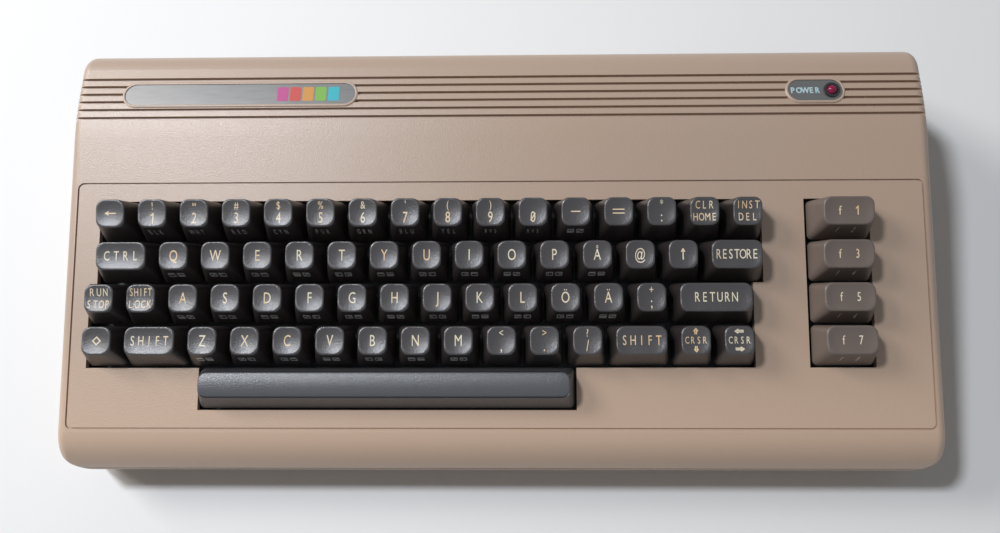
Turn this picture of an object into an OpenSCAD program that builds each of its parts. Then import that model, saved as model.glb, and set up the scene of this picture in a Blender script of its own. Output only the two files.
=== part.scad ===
// Home computer of the early 1980s: a wedge-shaped case in two plastic halves, with the keyboard,
// the main board and its sockets inside. All lengths are in millimetres.
// X runs along the keyboard to the right, Y from the front to the back and Z up. The origin lies
// under the middle of the case, on the surface that the rubber feet stand on.

/* [Case] */
// Overall width
case_w = 404; // [400:1:420]
// Overall depth
case_d = 216; // [212:1:222]
// Height of the crest over the ground
case_h = 70; // [69:0.5:72]
// Slope of the keyboard deck
deck_angle = 11.5; // [10.5:0.1:12]
// Radius of the rounded front edge
nose_r = 19; // [17:0.5:20]
// Radius of the curve between the deck and the flat crest
crest_r = 110; // [95:5:120]
// Where the deck's curve ends and the flat crest begins
crest_y = 64; // [62:0.5:66]
// Radius between the crest and the sloping back
rear_r = 12; // [10:0.5:13]
// Lean of the back, from upright
rear_angle = 28.7; // [26:0.1:30]
// Rounding of the deck's side edges
shoulder_r = 5; // [3.5:0.5:5.5]
// Plan radius of the front corners
front_corner_r = 11; // [9:0.5:13]
// Plan radius of the rear corners
rear_corner_r = 8; // [7:0.5:9]
// Height of the seam between the two halves
seam_z = 26; // [25.8:0.1:26.5]
// Wall of the upper half
wall = 3; // [2.6:0.1:3.2]
// Wall of the lower half
base_wall = 2.8; // [2.4:0.1:3]
// Height that the feet lift the case
foot_h = 2; // [2:0.1:2.4]

/* [Deck] */
// Half the width of the engraved line round the keyboard
line_x = 197; // [195:0.5:198]
// Width of the engraved line
line_w = 0.8; // [0.6:0.1:1]
// Depth of the engraved line
line_d = 0.8; // [0.5:0.1:1]
// Clearance between the end keys' skirts and the key opening
key_clear = 1.1; // [0.8:0.1:1.4]

/* [Crest grooves] */
// Middle of the rearmost groove
groove_y = 71.4; // [71:0.1:72]
// Distance from one groove to the next
groove_pitch = 4.05; // [4:0.01:4.1]
// Width of a groove
groove_w = 1.5; // [1.2:0.1:1.7]
// Depth of a groove
groove_d = 1.5; // [1:0.1:1.6]
// How far the grooves run down the sides
groove_drop = 12; // [8:1:16]

/* [Badges] */
// Length of the long badge
badge_l = 110.5; // [108:0.5:112]
// Width of both badges
badge_w = 10.8; // [10.2:0.1:11]
// Middle of the long badge
badge_x = -122.5; // [-124:0.5:-121]
// Length of the lamp's badge
lamp_badge_l = 25.4; // [25:0.1:26]
// Middle of the lamp's badge
lamp_badge_x = 150.1; // [149:0.1:151]
// Middle of the lamp
lamp_x = 157.8; // [157:0.1:158.5]
// Distance from the back groove to the middle of the badges
badge_back = 8.3; // [8:0.1:8.6]

/* [Keyboard] */
// Distance from key to key
unit = 19.05; // [19:0.01:19.05]
// Gap between the skirts of neighbouring keys
key_gap = 1; // [0.8:0.1:1.4]
// Width of a single key's top
key_top_w = 12.8; // [12.5:0.1:13.5]
// Depth of a key's top
key_top_d = 12.5; // [12:0.1:13]
// How far a key's top sits behind the middle of its skirt
key_lean = 2.2; // [1.6:0.1:2.4]
// Travel of a key
key_travel = 3.8; // [3.5:0.1:4]
// Height of the skirt's edge under the deck at rest
skirt_drop = 0.5; // [0.3:0.1:1]
// Wall of a keycap
cap_wall = 1.4; // [1.2:0.1:1.6]
// Radius of a key's plunger
plunger_r = 3; // [2.8:0.1:3.2]
// Radial clearance of a plunger in its guide
guide_clear = 0.08; // [0.05:0.01:0.1]

/* [Sockets] */
// Outer radius of a round socket's shell
din_r = 7.3; // [7.1:0.1:7.3]
// Height of the round sockets' middle
din_z = 17.4; // [17.2:0.1:17.6]
// Outer radius of the aerial jack
jack_r = 4.15; // [4.1:0.01:4.2]
// Width of the cartridge opening
cartridge_w = 78; // [74:1:82]
// Width of the user port's board edge
user_edge_w = 60; // [58:1:62]
// Width of the cassette port's board edge
cassette_edge_w = 26; // [24:1:28]

/* [Hidden] */
$fn = 72;
BROAD_FN = 720;
eps = 0.01;

// Keycaps, one entry for each node: its name, its row and the middle and width of each key in
// key units. Row 5 is the space bar.
FUNCTION_U = 17.84;
KEYS = [
    ["key_clear_home", 1, [[14.5, 1]]],
    ["key_insert_delete", 1, [[15.5, 1]]],
    ["key_control", 2, [[0.75, 1.5]]],
    ["key_restore", 2, [[15.25, 1.5]]],
    ["key_run_stop", 3, [[0.25, 1]]],
    ["key_shift_lock", 3, [[1.25, 1]]],
    ["key_return", 3, [[14.75, 2]]],
    ["key_system", 4, [[0.25, 1]]],
    ["key_shift_left", 4, [[1.5, 1.5]]],
    ["key_shift_right", 4, [[13, 1.5]]],
    ["key_cursor_up_down", 4, [[14.25, 1]]],
    ["key_cursor_left_right", 4, [[15.25, 1]]],
    ["key_f1", 1, [[FUNCTION_U, 1.5]]],
    ["key_f3", 2, [[FUNCTION_U, 1.5]]],
    ["key_f5", 3, [[FUNCTION_U, 1.5]]],
    ["key_f7", 4, [[FUNCTION_U, 1.5]]],
    ["keys_arrow_1_2_3", 1, [for (u = [0.5:3.5]) [u, 1]]],
    ["keys_4_5_6", 1, [for (u = [4.5:6.5]) [u, 1]]],
    ["keys_7_8_9", 1, [for (u = [7.5:9.5]) [u, 1]]],
    ["keys_0_minus_equals_colon", 1, [for (u = [10.5:13.5]) [u, 1]]],
    ["keys_q_w_e", 2, [for (u = [2:4]) [u, 1]]],
    ["keys_r_t_y", 2, [for (u = [5:7]) [u, 1]]],
    ["keys_u_i_o", 2, [for (u = [8:10]) [u, 1]]],
    ["keys_p_ring_at_up", 2, [for (u = [11:14]) [u, 1]]],
    ["keys_a_s_d", 3, [for (u = [2.25:4.25]) [u, 1]]],
    ["keys_f_g_h", 3, [for (u = [5.25:7.25]) [u, 1]]],
    ["keys_j_k_l", 3, [for (u = [8.25:10.25]) [u, 1]]],
    ["keys_umlauts_plus", 3, [for (u = [11.25:13.25]) [u, 1]]],
    ["keys_z_x_c", 4, [for (u = [2.75:4.75]) [u, 1]]],
    ["keys_v_b_n", 4, [for (u = [5.75:7.75]) [u, 1]]],
    ["keys_m_comma_period_slash", 4, [for (u = [8.75:11.75]) [u, 1]]]
];

// Colours
CASE_COLOR = "#B49C88";
BASE_COLOR = "#A89080";
KEY_COLOR = "#3A3230";
FUNCTION_COLOR = "#7A6C66";
BADGE_COLOR = "#9FA3A2";
BOARD_COLOR = "#2F6B3A";
METAL_COLOR = "#B8BABC";
BLACK_COLOR = "#242424";

// Side view of the upper half: the nose's circle, the sloping deck, the crest and the back, each
// tangent to the next
deck_rise = case_h - crest_r + crest_r / cos(deck_angle) - crest_y * tan(deck_angle);
nose_y = -case_d / 2 + nose_r;
nose_z = deck_rise + nose_y * tan(deck_angle) - nose_r / cos(deck_angle);
crest_z = case_h - crest_r;
rear_z = case_h - rear_r;
rear_y = case_d / 2 - rear_r * cos(rear_angle)
    - (rear_z + rear_r * sin(rear_angle) - seam_z) * tan(rear_angle);
deck_normal = [-sin(deck_angle), cos(deck_angle)];
rear_normal = [cos(rear_angle), sin(rear_angle)];
function arc_points(centre, r, from, to, steps) =
    [for (i = [0:steps]) let (a = from + (to - from) * i / steps) centre + r * [cos(a), sin(a)]];
function deck_front(inset) = [nose_y, nose_z] + (nose_r - inset) * deck_normal;
function deck_back(inset) = [crest_y, crest_z] + (crest_r - inset) * deck_normal;
function rear_top(inset) = [rear_y, rear_z] + (rear_r - inset) * rear_normal;
deck_l = norm(deck_back(0) - deck_front(0));
rear_l = (rear_top(0)[1] - seam_z) / cos(rear_angle);
sweep_depth = 50;
step = 0.02;

// Lower half: its front goes on from the nose's circle and turns under the case
base_nose_r = nose_z - foot_h;
base_front_y = -case_d / 2 + base_nose_r;
base_edge_r = 7;
base_draft = 2.5;
base_rear_r = 4;
floor_z = foot_h + base_wall;
seam_gap = 0.5;
seam_inset = 1.1;

// Keyboard frame: its origin lies on the deck under the middle of rows 1 to 4, with X along the
// case, Y up the slope and Z out of the deck
key_y = -26.35;
key_z = deck_rise + key_y * tan(deck_angle);
key_x = -31;
function deck_point(t, n) = [
    key_y + t * cos(deck_angle) - n * sin(deck_angle), key_z + t * sin(deck_angle) + n * cos(deck_angle)
];
ROW_TOP = [14.2, 12.2, 11.4, 11.6, 10.4];
ROW_TILT = [4, 2, 0, -2, 0];
function u_to_x(u) = key_x + (u - 8) * unit;
function row_to_t(row) = (2.5 - row) * unit;
key_d = unit - key_gap;
side_taper = (key_d - key_top_w) / 2;
space_u = 7;
space_w = 9;
space_top_d = 10.9;
dish_d = 0.9;
cap_top = 2;
boss_r = 4.2;
boss_l = 6;
plunger_end = -15;
wire_r = 0.9;

// Keyboard chassis and board, as heights in the keyboard frame
chassis_top = -11;
chassis_t = 2;
guide_top = -5.5;
guide_r = 5;
keyboard_board_top = -19.6;
keyboard_board_t = 1.6;
chassis_box = [-194, 176, -61.5, 47];
CHASSIS_SCREWS = [[-150, 43], [-60, 43], [30, 43], [133, 43], [-165, -47], [62, -47], [133, -47]];
BOARD_LEGS = [[-184, 41], [10, 42], [167, 41], [-184, -45], [62, -55], [125, -55]];

// Screws
screw_r = 1.2;
screw_bore_r = 1.25;
screw_pass_r = 1.7;
screw_head_r = 2.8;
CASE_SCREW_X = [-170, 0, 170];
case_screw_y = -95;
case_boss_r = 6.2;
case_head_r = 3.6;
case_head_z = 13;

// Main board
board_z = 9.6;
board_t = 1.6;
board_top = board_z + board_t;
board_box = [-186, 188, -46, 98];
BOARD_POSTS = [[-178, -38], [-60, -38], [70, -38], [180, -38], [-178, 60], [-70, 90], [50, 55], [108, 55]];
FEET = [[-168, -68], [168, -68], [-168, 88], [168, 88]];

// Sockets, from right to left along the back, and from front to back along the right side
cartridge_x = 140;
channel_x = 90;
channel_travel = 4;
jack_x = 70;
av_x = 38;
serial_x = 12;
cassette_x = -38;
user_x = -118;
rear_face = case_d / 2;
socket_face = 1.2;
edge_open = [4.9, 17.3];
modulator_box = [58, 100, 64, 99.5];
modulator_h = 17.5;
jack_z = 18;
PORT_Y = [-26, 14];
port_z = 17.6;
port_open = [34, 14];
switch_y = 56;
switch_z = 17.5;
rocker_tilt = 9;
power_y = 84;
right_face = case_w / 2;

lamp_y = groove_y - badge_back;
lamp_r = 2.5;
bezel_r = 3.25;

// ---------- placing and outlines ----------

// Puts a child into the keyboard frame
module on_deck(x = 0, t = 0, n = 0)
    translate([0, key_y, key_z]) rotate([deck_angle, 0, 0]) translate([x, t, n]) children();

// Extrudes a side view, drawn as Y and Z, along X
module along_x(length) rotate([90, 0, 90]) linear_extrude(length, center = true) children();

// A rectangle with rounded corners, from one corner to the other
module rounded_box(x0, x1, y0, y1, r) {
    translate([x0 + r, y0]) square([x1 - x0 - 2 * r, y1 - y0]);
    translate([x0, y0 + r]) square([x1 - x0, y1 - y0 - 2 * r]);
    for (x = [x0 + r, x1 - r], y = [y0 + r, y1 - r]) translate([x, y]) circle(r);
}

// A slot shape with round ends, about its own middle
module stadium(length, width) {
    square([length - width, width], center = true);
    for (s = [-1, 1]) translate([s * (length - width) / 2, 0]) circle(width / 2);
}

// Plan of the case, drawn in by an inset
module plan_outline(inset) {
    w = case_w / 2 - inset;
    d = case_d / 2 - inset;
    front = front_corner_r - inset;
    rear = rear_corner_r - inset;
    polygon([
        [front - w, -d], [w - front, -d], [w, front - d], [w, d - rear],
        [w - rear, d], [rear - w, d], [-w, d - rear], [-w, front - d]
    ]);
    for (s = [-1, 1]) {
        translate([s * (w - front), front - d]) circle(front);
        translate([s * (w - rear), d - rear]) circle(rear);
    }
}

// What lies outside the plan at its four corners
module corner_waste() {
    margin = 5;
    for (x = [-1, 1], y = [-1, 1]) {
        r = y < 0 ? front_corner_r : rear_corner_r;
        difference() {
            translate([x * (case_w / 2 - r / 2 + margin / 2), y * (case_d / 2 - r / 2 + margin / 2)])
                square(r + margin, center = true);
            translate([x * (case_w / 2 - r + step), y * (case_d / 2 - r + step)]) circle(r);
        }
    }
}

// Section across the upper half, with its top edge at height 0
module shoulder_section(depth, inset = 0) {
    w = case_w / 2 - inset;
    r = shoulder_r;
    translate([-w, -depth]) square([2 * w, depth - r - inset]);
    translate([r - w, -depth]) square([2 * (w - r), depth - inset]);
    for (s = [-1, 1]) translate([s * (w - r), -r - inset]) circle(r);
}

// Carries that section along a straight stretch of the side view
module straight_sweep(from, angle, length)
    translate([0, from[0], from[1]]) rotate([angle + 90, 0, 0]) translate([0, 0, -length])
        linear_extrude(length) shoulder_section(sweep_depth);

// Turns that section round a rounded stretch of the side view. It lies a hair's breadth inside the
// straight ones, so that no two faces touch without meeting.
module arc_sweep(centre, r, from, to, depth)
    translate([0, centre[0], centre[1]]) rotate([90, 0, 90]) rotate([0, 0, from])
        rotate_extrude(angle = to - from, $fn = r > 50 ? BROAD_FN : $fn)
            translate([r, 0]) rotate(-90) shoulder_section(depth, step, $fn = 72);

// Side view of the upper half, drawn in by an inset, from under the nose over the crest to the back
module side_profile(inset) polygon(concat(
    arc_points([nose_y, nose_z], nose_r - inset, 205, 90 + deck_angle, 16),
    arc_points([crest_y, crest_z], crest_r - inset, 90 + deck_angle, 90, 16),
    arc_points([rear_y, rear_z], rear_r - inset, 90, rear_angle, 10),
    [rear_top(inset) + rear_top(inset)[1] * [tan(rear_angle), -1], [nose_y, 0]]
));

// Side view of the lower half, drawn in by an inset
module base_profile(inset) {
    rear = case_d / 2 - inset;
    bottom = foot_h + inset;
    translate([base_front_y, nose_z]) circle(base_nose_r - inset);
    polygon([
        [base_front_y, bottom], [rear - base_rear_r, bottom], [rear, bottom + base_rear_r],
        [rear, seam_z], [base_front_y, seam_z]
    ]);
    translate([rear - base_rear_r, bottom + base_rear_r]) circle(base_rear_r);
}

// Front view of the lower half, drawn in by an inset
module base_front_view(inset) {
    w = case_w / 2 - inset;
    low = w - base_draft;
    z = foot_h + inset;
    polygon([
        [-w, seam_z], [w, seam_z], [low, z + base_edge_r], [low - base_edge_r, z],
        [base_edge_r - low, z], [-low, z + base_edge_r]
    ]);
    for (s = [-1, 1]) translate([s * (low - base_edge_r), z + base_edge_r]) circle(base_edge_r);
}

// ---------- upper half of the case ----------

// The flat stretches of the side view, and between them the rounded ones, which run on into
// their neighbours
module top_body() difference() {
    union() {
        straight_sweep(deck_front(0), deck_angle, deck_l);
        straight_sweep([crest_y, case_h], 0, rear_y - crest_y);
        straight_sweep(rear_top(0), rear_angle - 90, rear_l + 5);
        arc_sweep([nose_y, nose_z], nose_r, 85 + deck_angle, 190, nose_r - 2);
        arc_sweep([crest_y, crest_z], crest_r, 88, 92 + deck_angle, sweep_depth);
        arc_sweep([rear_y, rear_z], rear_r, rear_angle - 5, 95, rear_r - 3);
        translate([0, rear_y, rear_z]) rotate([0, 90, 0])
            cylinder(h = case_w - 2 * step, r = rear_r - shoulder_r, center = true);
    }
    translate([-case_w, -case_d, seam_z - case_h]) cube([2 * case_w, 2 * case_d, case_h]);
    linear_extrude(case_h + 1) corner_waste();
}

module top_cavity() intersection() {
    along_x(case_w - 2 * wall) side_profile(wall);
    linear_extrude(case_h) plan_outline(wall);
}

// The slots of the grooves, over the whole width and down the sides
module crest_grooves() difference() {
    for (i = [0:5]) difference() {
        translate([-case_w / 2 - 1, groove_y - i * groove_pitch - groove_w / 2, case_h - groove_drop])
            cube([case_w + 2, groove_w, groove_drop + 1]);
        if (i >= 1 && i <= 3) badge_places(2, 2.6);
    }
    along_x(case_w - 2 * groove_d) side_profile(groove_d);
}

// Upright prisms over the two badges, each larger than its badge by a margin
module badge_places(below, margin) for (b = [[badge_x, badge_l], [lamp_badge_x, lamp_badge_l]])
    translate([b[0], lamp_y, case_h - below])
        linear_extrude(below + 2) stadium(b[1] + margin, badge_w + margin);

// Openings for the main keys, the space bar and the function keys, drawn in the keyboard frame
module key_openings() {
    half = 2 * unit + key_clear - key_gap / 2;
    edge = key_clear - key_gap / 2;
    upper = [u_to_x(0) - edge - 1.5, u_to_x(16) + edge];
    lower = [u_to_x(-0.25) - edge, u_to_x(15.75) + edge];
    space = [u_to_x(space_u - space_w / 2) - edge, u_to_x(space_u + space_w / 2) + edge];
    side = [u_to_x(FUNCTION_U - 0.75) - edge, u_to_x(FUNCTION_U + 0.75) + edge];
    translate([upper[0], 0]) square([upper[1] - upper[0], half]);
    translate([lower[0], -half]) square([lower[1] - lower[0], half + eps]);
    translate([space[0], -half - unit]) square([space[1] - space[0], unit + 1]);
    translate([side[0], -half]) square([side[1] - side[0], 2 * half]);
}

module deck_line() difference() {
    rounded_box(-line_x, line_x, -66.4, 47.7, 3);
    rounded_box(line_w - line_x, line_x - line_w, line_w - 66.4, 47.7 - line_w, 3 - line_w);
}

module top_case() color(CASE_COLOR) difference() {
    union() {
        difference() {
            top_body();
            top_cavity();
        }
        for (p = CHASSIS_SCREWS) on_deck(p[0], p[1], chassis_top) cylinder(h = -wall - chassis_top + 1, r = 3);
        for (x = CASE_SCREW_X) translate([x, case_screw_y, seam_z]) cylinder(h = 11.6, r = 3.5);
    }
    crest_grooves();
    on_deck(0, 0, -wall - 4) linear_extrude(wall + 8) key_openings();
    on_deck(0, 0, -line_d) linear_extrude(2) deck_line();
    badge_places(1, 0.3);
    translate([lamp_x, lamp_y, case_h - 8]) cylinder(h = 10, r = bezel_r + 0.05);
    for (p = CHASSIS_SCREWS) on_deck(p[0], p[1], chassis_top - 1) cylinder(h = 8, r = screw_bore_r);
    for (x = CASE_SCREW_X) translate([x, case_screw_y, seam_z - 1]) cylinder(h = 8, r = screw_bore_r);
}

module badge_plate() color(BADGE_COLOR)
    translate([badge_x, lamp_y, case_h - 1]) linear_extrude(0.9) stadium(badge_l, badge_w);

module lamp_badge() color(BADGE_COLOR) difference() {
    translate([lamp_badge_x, lamp_y, case_h - 1]) linear_extrude(0.9) stadium(lamp_badge_l, badge_w);
    translate([lamp_x, lamp_y, case_h - 2]) cylinder(h = 3, r = bezel_r + 0.1);
}

module lamp_bezel() color(BLACK_COLOR) translate([lamp_x, lamp_y, case_h]) difference() {
    union() {
        translate([0, 0, -7.5]) cylinder(h = 8, r = bezel_r);
        translate([0, 0, 0]) cylinder(h = 0.6, r = bezel_r + 0.5);
    }
    translate([0, 0, -8]) cylinder(h = 9, r = lamp_r + 0.1);
}

module power_lamp() color("#A01838") translate([lamp_x, lamp_y, case_h]) {
    translate([0, 0, -8]) cylinder(h = 7.6, r = lamp_r);
    translate([0, 0, -0.4]) intersection() {
        sphere(lamp_r);
        cylinder(h = lamp_r, r = lamp_r);
    }
    translate([0, 0, -8.5]) cylinder(h = 1, r = lamp_r + 0.5);
}

// ---------- lower half of the case ----------

module base_body(inset) intersection() {
    along_x(case_w) base_profile(inset);
    rotate([90, 0, 0]) linear_extrude(case_d, center = true) base_front_view(inset);
    linear_extrude(seam_z + (inset > 0 ? 1 : 0)) plan_outline(inset);
}

// Openings through the back wall
module rear_openings() {
    y = rear_face - 6;
    translate([cartridge_x - cartridge_w / 2, y, board_top]) cube([cartridge_w, 12, seam_z]);
    for (e = [[user_x, user_edge_w + 14], [cassette_x, cassette_edge_w + 8]])
        translate([e[0] - e[1] / 2, y, edge_open[0]]) cube([e[1], 12, edge_open[1] - edge_open[0]]);
    for (x = [av_x, serial_x]) translate([x, y, din_z]) rotate([-90, 0, 0]) cylinder(h = 12, r = din_r + 0.2);
    translate([jack_x, y, jack_z]) rotate([-90, 0, 0]) cylinder(h = 12, r = 7.4);
    translate([channel_x - 6, y, jack_z - 3.5]) cube([12, 12, 7]);
}

// Openings through the right side wall
module side_openings() {
    x = right_face - 8;
    for (p = PORT_Y) translate([x, p - port_open[0] / 2, port_z - port_open[1] / 2]) cube([12, port_open[0], port_open[1]]);
    translate([x, switch_y - 11.5, switch_z - 7]) cube([12, 23, 14]);
    translate([x, power_y, din_z]) rotate([0, 90, 0]) cylinder(h = 12, r = din_r + 0.2);
}

module bottom_case() color(BASE_COLOR) difference() {
    union() {
        difference() {
            base_body(0);
            base_body(base_wall);
        }
        for (p = BOARD_POSTS) translate([p[0], p[1], floor_z - 1]) cylinder(h = board_z - floor_z + 1, r = 3);
        intersection() {
            for (x = CASE_SCREW_X) translate([x, case_screw_y, 0]) cylinder(h = seam_z, r = case_boss_r);
            base_body(0);
        }
    }
    translate([0, 0, seam_z - seam_gap]) linear_extrude(1) difference() {
        square([case_w + 2, case_d + 2], center = true);
        plan_outline(seam_inset);
    }
    rear_openings();
    side_openings();
    for (p = BOARD_POSTS) translate([p[0], p[1], floor_z]) cylinder(h = 10, r = screw_bore_r);
    for (x = CASE_SCREW_X) translate([x, case_screw_y, -1]) {
        cylinder(h = case_head_z + 1, r = case_head_r + 0.4);
        cylinder(h = 40, r = screw_pass_r);
    }
    for (p = FEET) translate([p[0], p[1], 0]) cylinder(h = foot_h + 0.6, r = 6.6);
    for (i = [-7:7]) translate([i * 11 - 1.5, 8, 0]) cube([3, 44, 10]);
}

module rubber_feet() color("#2A2A2A") for (p = FEET) translate([p[0], p[1], 0]) {
    cylinder(h = foot_h + 0.6, r = 6.5);
}

module case_screws() color(METAL_COLOR) for (x = CASE_SCREW_X) translate([x, case_screw_y, 0]) {
    translate([0, 0, case_head_z - 2.4]) cylinder(h = 2.4, r = case_head_r);
    translate([0, 0, case_head_z - 0.5]) cylinder(h = 18, r = screw_r);
}

// A pan-head screw, its head resting on height 0 and its thread going down
module pan_screw(length) {
    cylinder(h = 1.8, r = screw_head_r);
    translate([0, 0, -length]) cylinder(h = length + 1, r = screw_r);
}

module inner_screws() color(METAL_COLOR) {
    for (p = BOARD_POSTS) translate([p[0], p[1], board_top]) pan_screw(5);
    for (p = CHASSIS_SCREWS) on_deck(p[0], p[1], chassis_top - chassis_t) mirror([0, 0, 1]) pan_screw(7);
    for (p = BOARD_LEGS)
        on_deck(p[0], p[1], keyboard_board_top - keyboard_board_t) mirror([0, 0, 1]) pan_screw(5);
}

// ---------- keyboard ----------

// Every key as its middle, its row and its width in key units
ALL_KEYS = concat(
    [for (k = KEYS) for (c = k[2]) [c[0], k[1], c[1]]],
    [[space_u, 5, space_w]]
);

module keyboard_chassis() color(BLACK_COLOR) on_deck() difference() {
    union() {
        translate([0, 0, chassis_top - chassis_t]) linear_extrude(chassis_t)
            rounded_box(chassis_box[0], chassis_box[1], chassis_box[2], chassis_box[3], 3);
        for (k = ALL_KEYS) translate([u_to_x(k[0]), row_to_t(k[1]), chassis_top - 1])
            cylinder(h = guide_top - chassis_top + 1, r = guide_r);
        for (p = BOARD_LEGS) translate([p[0], p[1], keyboard_board_top])
            cylinder(h = chassis_top - chassis_t - keyboard_board_top + 1, r = 3);
    }
    for (k = ALL_KEYS) translate([u_to_x(k[0]), row_to_t(k[1]), chassis_top - chassis_t - 1])
        cylinder(h = guide_top - chassis_top + chassis_t + 2, r = plunger_r + guide_clear);
    for (p = CHASSIS_SCREWS) translate([p[0], p[1], chassis_top - chassis_t - 1])
        cylinder(h = chassis_t + 2, r = screw_pass_r);
    for (p = BOARD_LEGS) translate([p[0], p[1], keyboard_board_top - 1]) cylinder(h = 6, r = screw_bore_r);
}

module keyboard_board() color("#4A3A22") on_deck() difference() {
    translate([0, 0, keyboard_board_top - keyboard_board_t]) linear_extrude(keyboard_board_t)
        rounded_box(-189, 172, -59, 45, 2);
    for (p = BOARD_LEGS) translate([p[0], p[1], keyboard_board_top - keyboard_board_t - 1])
        cylinder(h = keyboard_board_t + 2, r = screw_pass_r);
}

// The tapered body of a keycap, standing on its skirt's edge
module cap_body(base_w, base_d, top_w, top_d, lean, h) intersection() {
    rotate([90, 0, 0]) linear_extrude(2 * unit, center = true)
        polygon([[-base_w / 2, 0], [base_w / 2, 0], [top_w / 2, h], [-top_w / 2, h]]);
    along_x(base_w + 1)
        polygon([[-base_d / 2, 0], [base_d / 2, 0], [lean + top_d / 2, h], [lean - top_d / 2, h]]);
}

// What rounds the upright corners of a keycap: a leaning cone at each end
module corner_rounder(base_w, lean, h) {
    reach = base_w / 2 - key_d / 2;
    lean_angle = atan(lean / h);
    base_r = 0.675 * key_d;
    top_r = 0.585 * key_top_w;
    slope = (base_r - top_r) / h;
    for (s = [-1, 1]) translate([s * reach, 0, 0]) rotate([-lean_angle, 0, 0]) translate([0, 0, -2])
        cylinder(h = h + 4, r1 = base_r + 2 * slope, r2 = top_r - 2 * slope);
    if (reach > 0) translate([-reach, -unit, -1]) cube([2 * reach, 2 * unit, h + 2]);
}

// What hollows the top of a key out: a ball, drawn out sideways on a wide key
module dish(base_w) {
    reach = base_w / 2 - key_d / 2;
    r = (key_top_w * key_top_w / 4 + dish_d * dish_d) / (2 * dish_d);
    translate([0, 0, r - dish_d]) {
        for (s = [-1, 1]) translate([s * reach, 0, 0]) sphere(r);
        if (reach > 0) rotate([0, 90, 0]) cylinder(h = 2 * reach, r = r, center = true);
    }
}

// One key: its cap and, as a separate piece pressed into the cap, its plunger
module key(u, w, row) {
    base_w = w * unit - key_gap;
    h = ROW_TOP[row - 1] + skirt_drop;
    grow = (h + 2) / h;
    on_deck(u_to_x(u), row_to_t(row), -skirt_drop) {
        difference() {
            intersection() {
                cap_body(base_w, key_d, base_w - 2 * side_taper * grow,
                    key_d - (key_d - key_top_d) * grow, key_lean * grow, h * grow);
                corner_rounder(base_w, key_lean, h);
            }
            translate([0, key_lean, h]) rotate([ROW_TILT[row - 1], 0, 0]) {
                translate([-base_w, -unit, 0]) cube([2 * base_w, 2 * unit, 10]);
                dish(base_w);
            }
            difference() {
                translate([0, 0, -eps]) cap_body(base_w - 2 * cap_wall, key_d - 2 * cap_wall,
                    base_w - 2 * side_taper - 2.4 * cap_wall, key_top_d - 2.4 * cap_wall,
                    key_lean, h - cap_top);
                translate([0, 0, h - boss_l - cap_top]) cylinder(h = boss_l + 1, r = boss_r);
            }
            translate([0, 0, -1]) cylinder(h = h - cap_top, r = plunger_r + 0.05);
        }
        translate([0, 0, plunger_end + skirt_drop])
            cylinder(h = h - cap_top - 1.1 - plunger_end - skirt_drop, r = plunger_r);
    }
}

module key_group(k) color(k[2][0][0] == FUNCTION_U ? FUNCTION_COLOR : KEY_COLOR)
    for (c = k[2]) key(c[0], c[1], k[1]);

// The space bar has a rounded back, a plunger in the middle and a guide post near each end
module space_bar() color(KEY_COLOR) {
    base_w = space_w * unit - key_gap;
    h = ROW_TOP[4] + skirt_drop;
    on_deck(u_to_x(space_u), row_to_t(5), -skirt_drop) {
        difference() {
            intersection() {
                cap_body(base_w, key_d, base_w - 2 * side_taper, space_top_d, 1.9, h);
                translate([0, 1.9, h - 16]) rotate([0, 90, 0]) cylinder(h = base_w, r = 16, center = true);
            }
            difference() {
                translate([0, 0, -eps]) cap_body(base_w - 2 * cap_wall, key_d - 2 * cap_wall,
                    base_w - 2 * side_taper - 2 * cap_wall, space_top_d - 2 * cap_wall, 1.9, h - cap_top - 0.6);
                for (s = [-1, 0, 1]) translate([s * 60, 0, s == 0 ? 3 : -2]) cylinder(h = h, r = s == 0 ? boss_r : 2.6);
            }
            translate([0, 0, -1]) cylinder(h = h - cap_top, r = plunger_r + 0.05);
        }
        translate([0, 0, plunger_end + skirt_drop])
            cylinder(h = h - cap_top - 1.1 - plunger_end - skirt_drop, r = plunger_r);
    }
}

// The flat lead from the keyboard's board down to the main board
module keyboard_lead() color("#6E6A66") translate([60, 0, 0]) along_x(44) polygon([
    deck_point(18, keyboard_board_top - keyboard_board_t), [8, board_top + 8], [8, board_top],
    [9.2, board_top], [9.2, board_top + 8.5], deck_point(19.3, keyboard_board_top - keyboard_board_t)
]);

// ---------- main board and sockets ----------

module main_board() color(BOARD_COLOR) difference() {
    translate([0, 0, board_z]) linear_extrude(board_t) {
        translate([board_box[0], board_box[2]])
            square([board_box[1] - board_box[0], board_box[3] - board_box[2]]);
        translate([user_x - user_edge_w / 2, 90]) square([user_edge_w, rear_face - 1.5 - 90]);
        translate([cassette_x - cassette_edge_w / 2, 90]) square([cassette_edge_w, rear_face - 1.5 - 90]);
    }
    for (p = BOARD_POSTS) translate([p[0], p[1], board_z - 1]) cylinder(h = board_t + 2, r = screw_pass_r);
}

// Gold strips on both faces of the two board edges
module edge_contacts() color("#C9A84A")
    for (e = [[user_x, 12], [cassette_x, 6]], i = [0:e[1] - 1], z = [board_z - 0.1, board_top])
        translate([e[0] + (i - (e[1] - 1) / 2) * 3.96 - 1.25, rear_face - 11, z]) cube([2.5, 9, 0.1]);

// A dual in-line chip with a notch at one end, about its own middle
module chip(length, width) difference() {
    translate([-length / 2, -width / 2, 0.8]) cube([length, width, 3.6]);
    translate([-length / 2, 0, 3.4]) cylinder(h = 2, r = 1.5);
}

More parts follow.
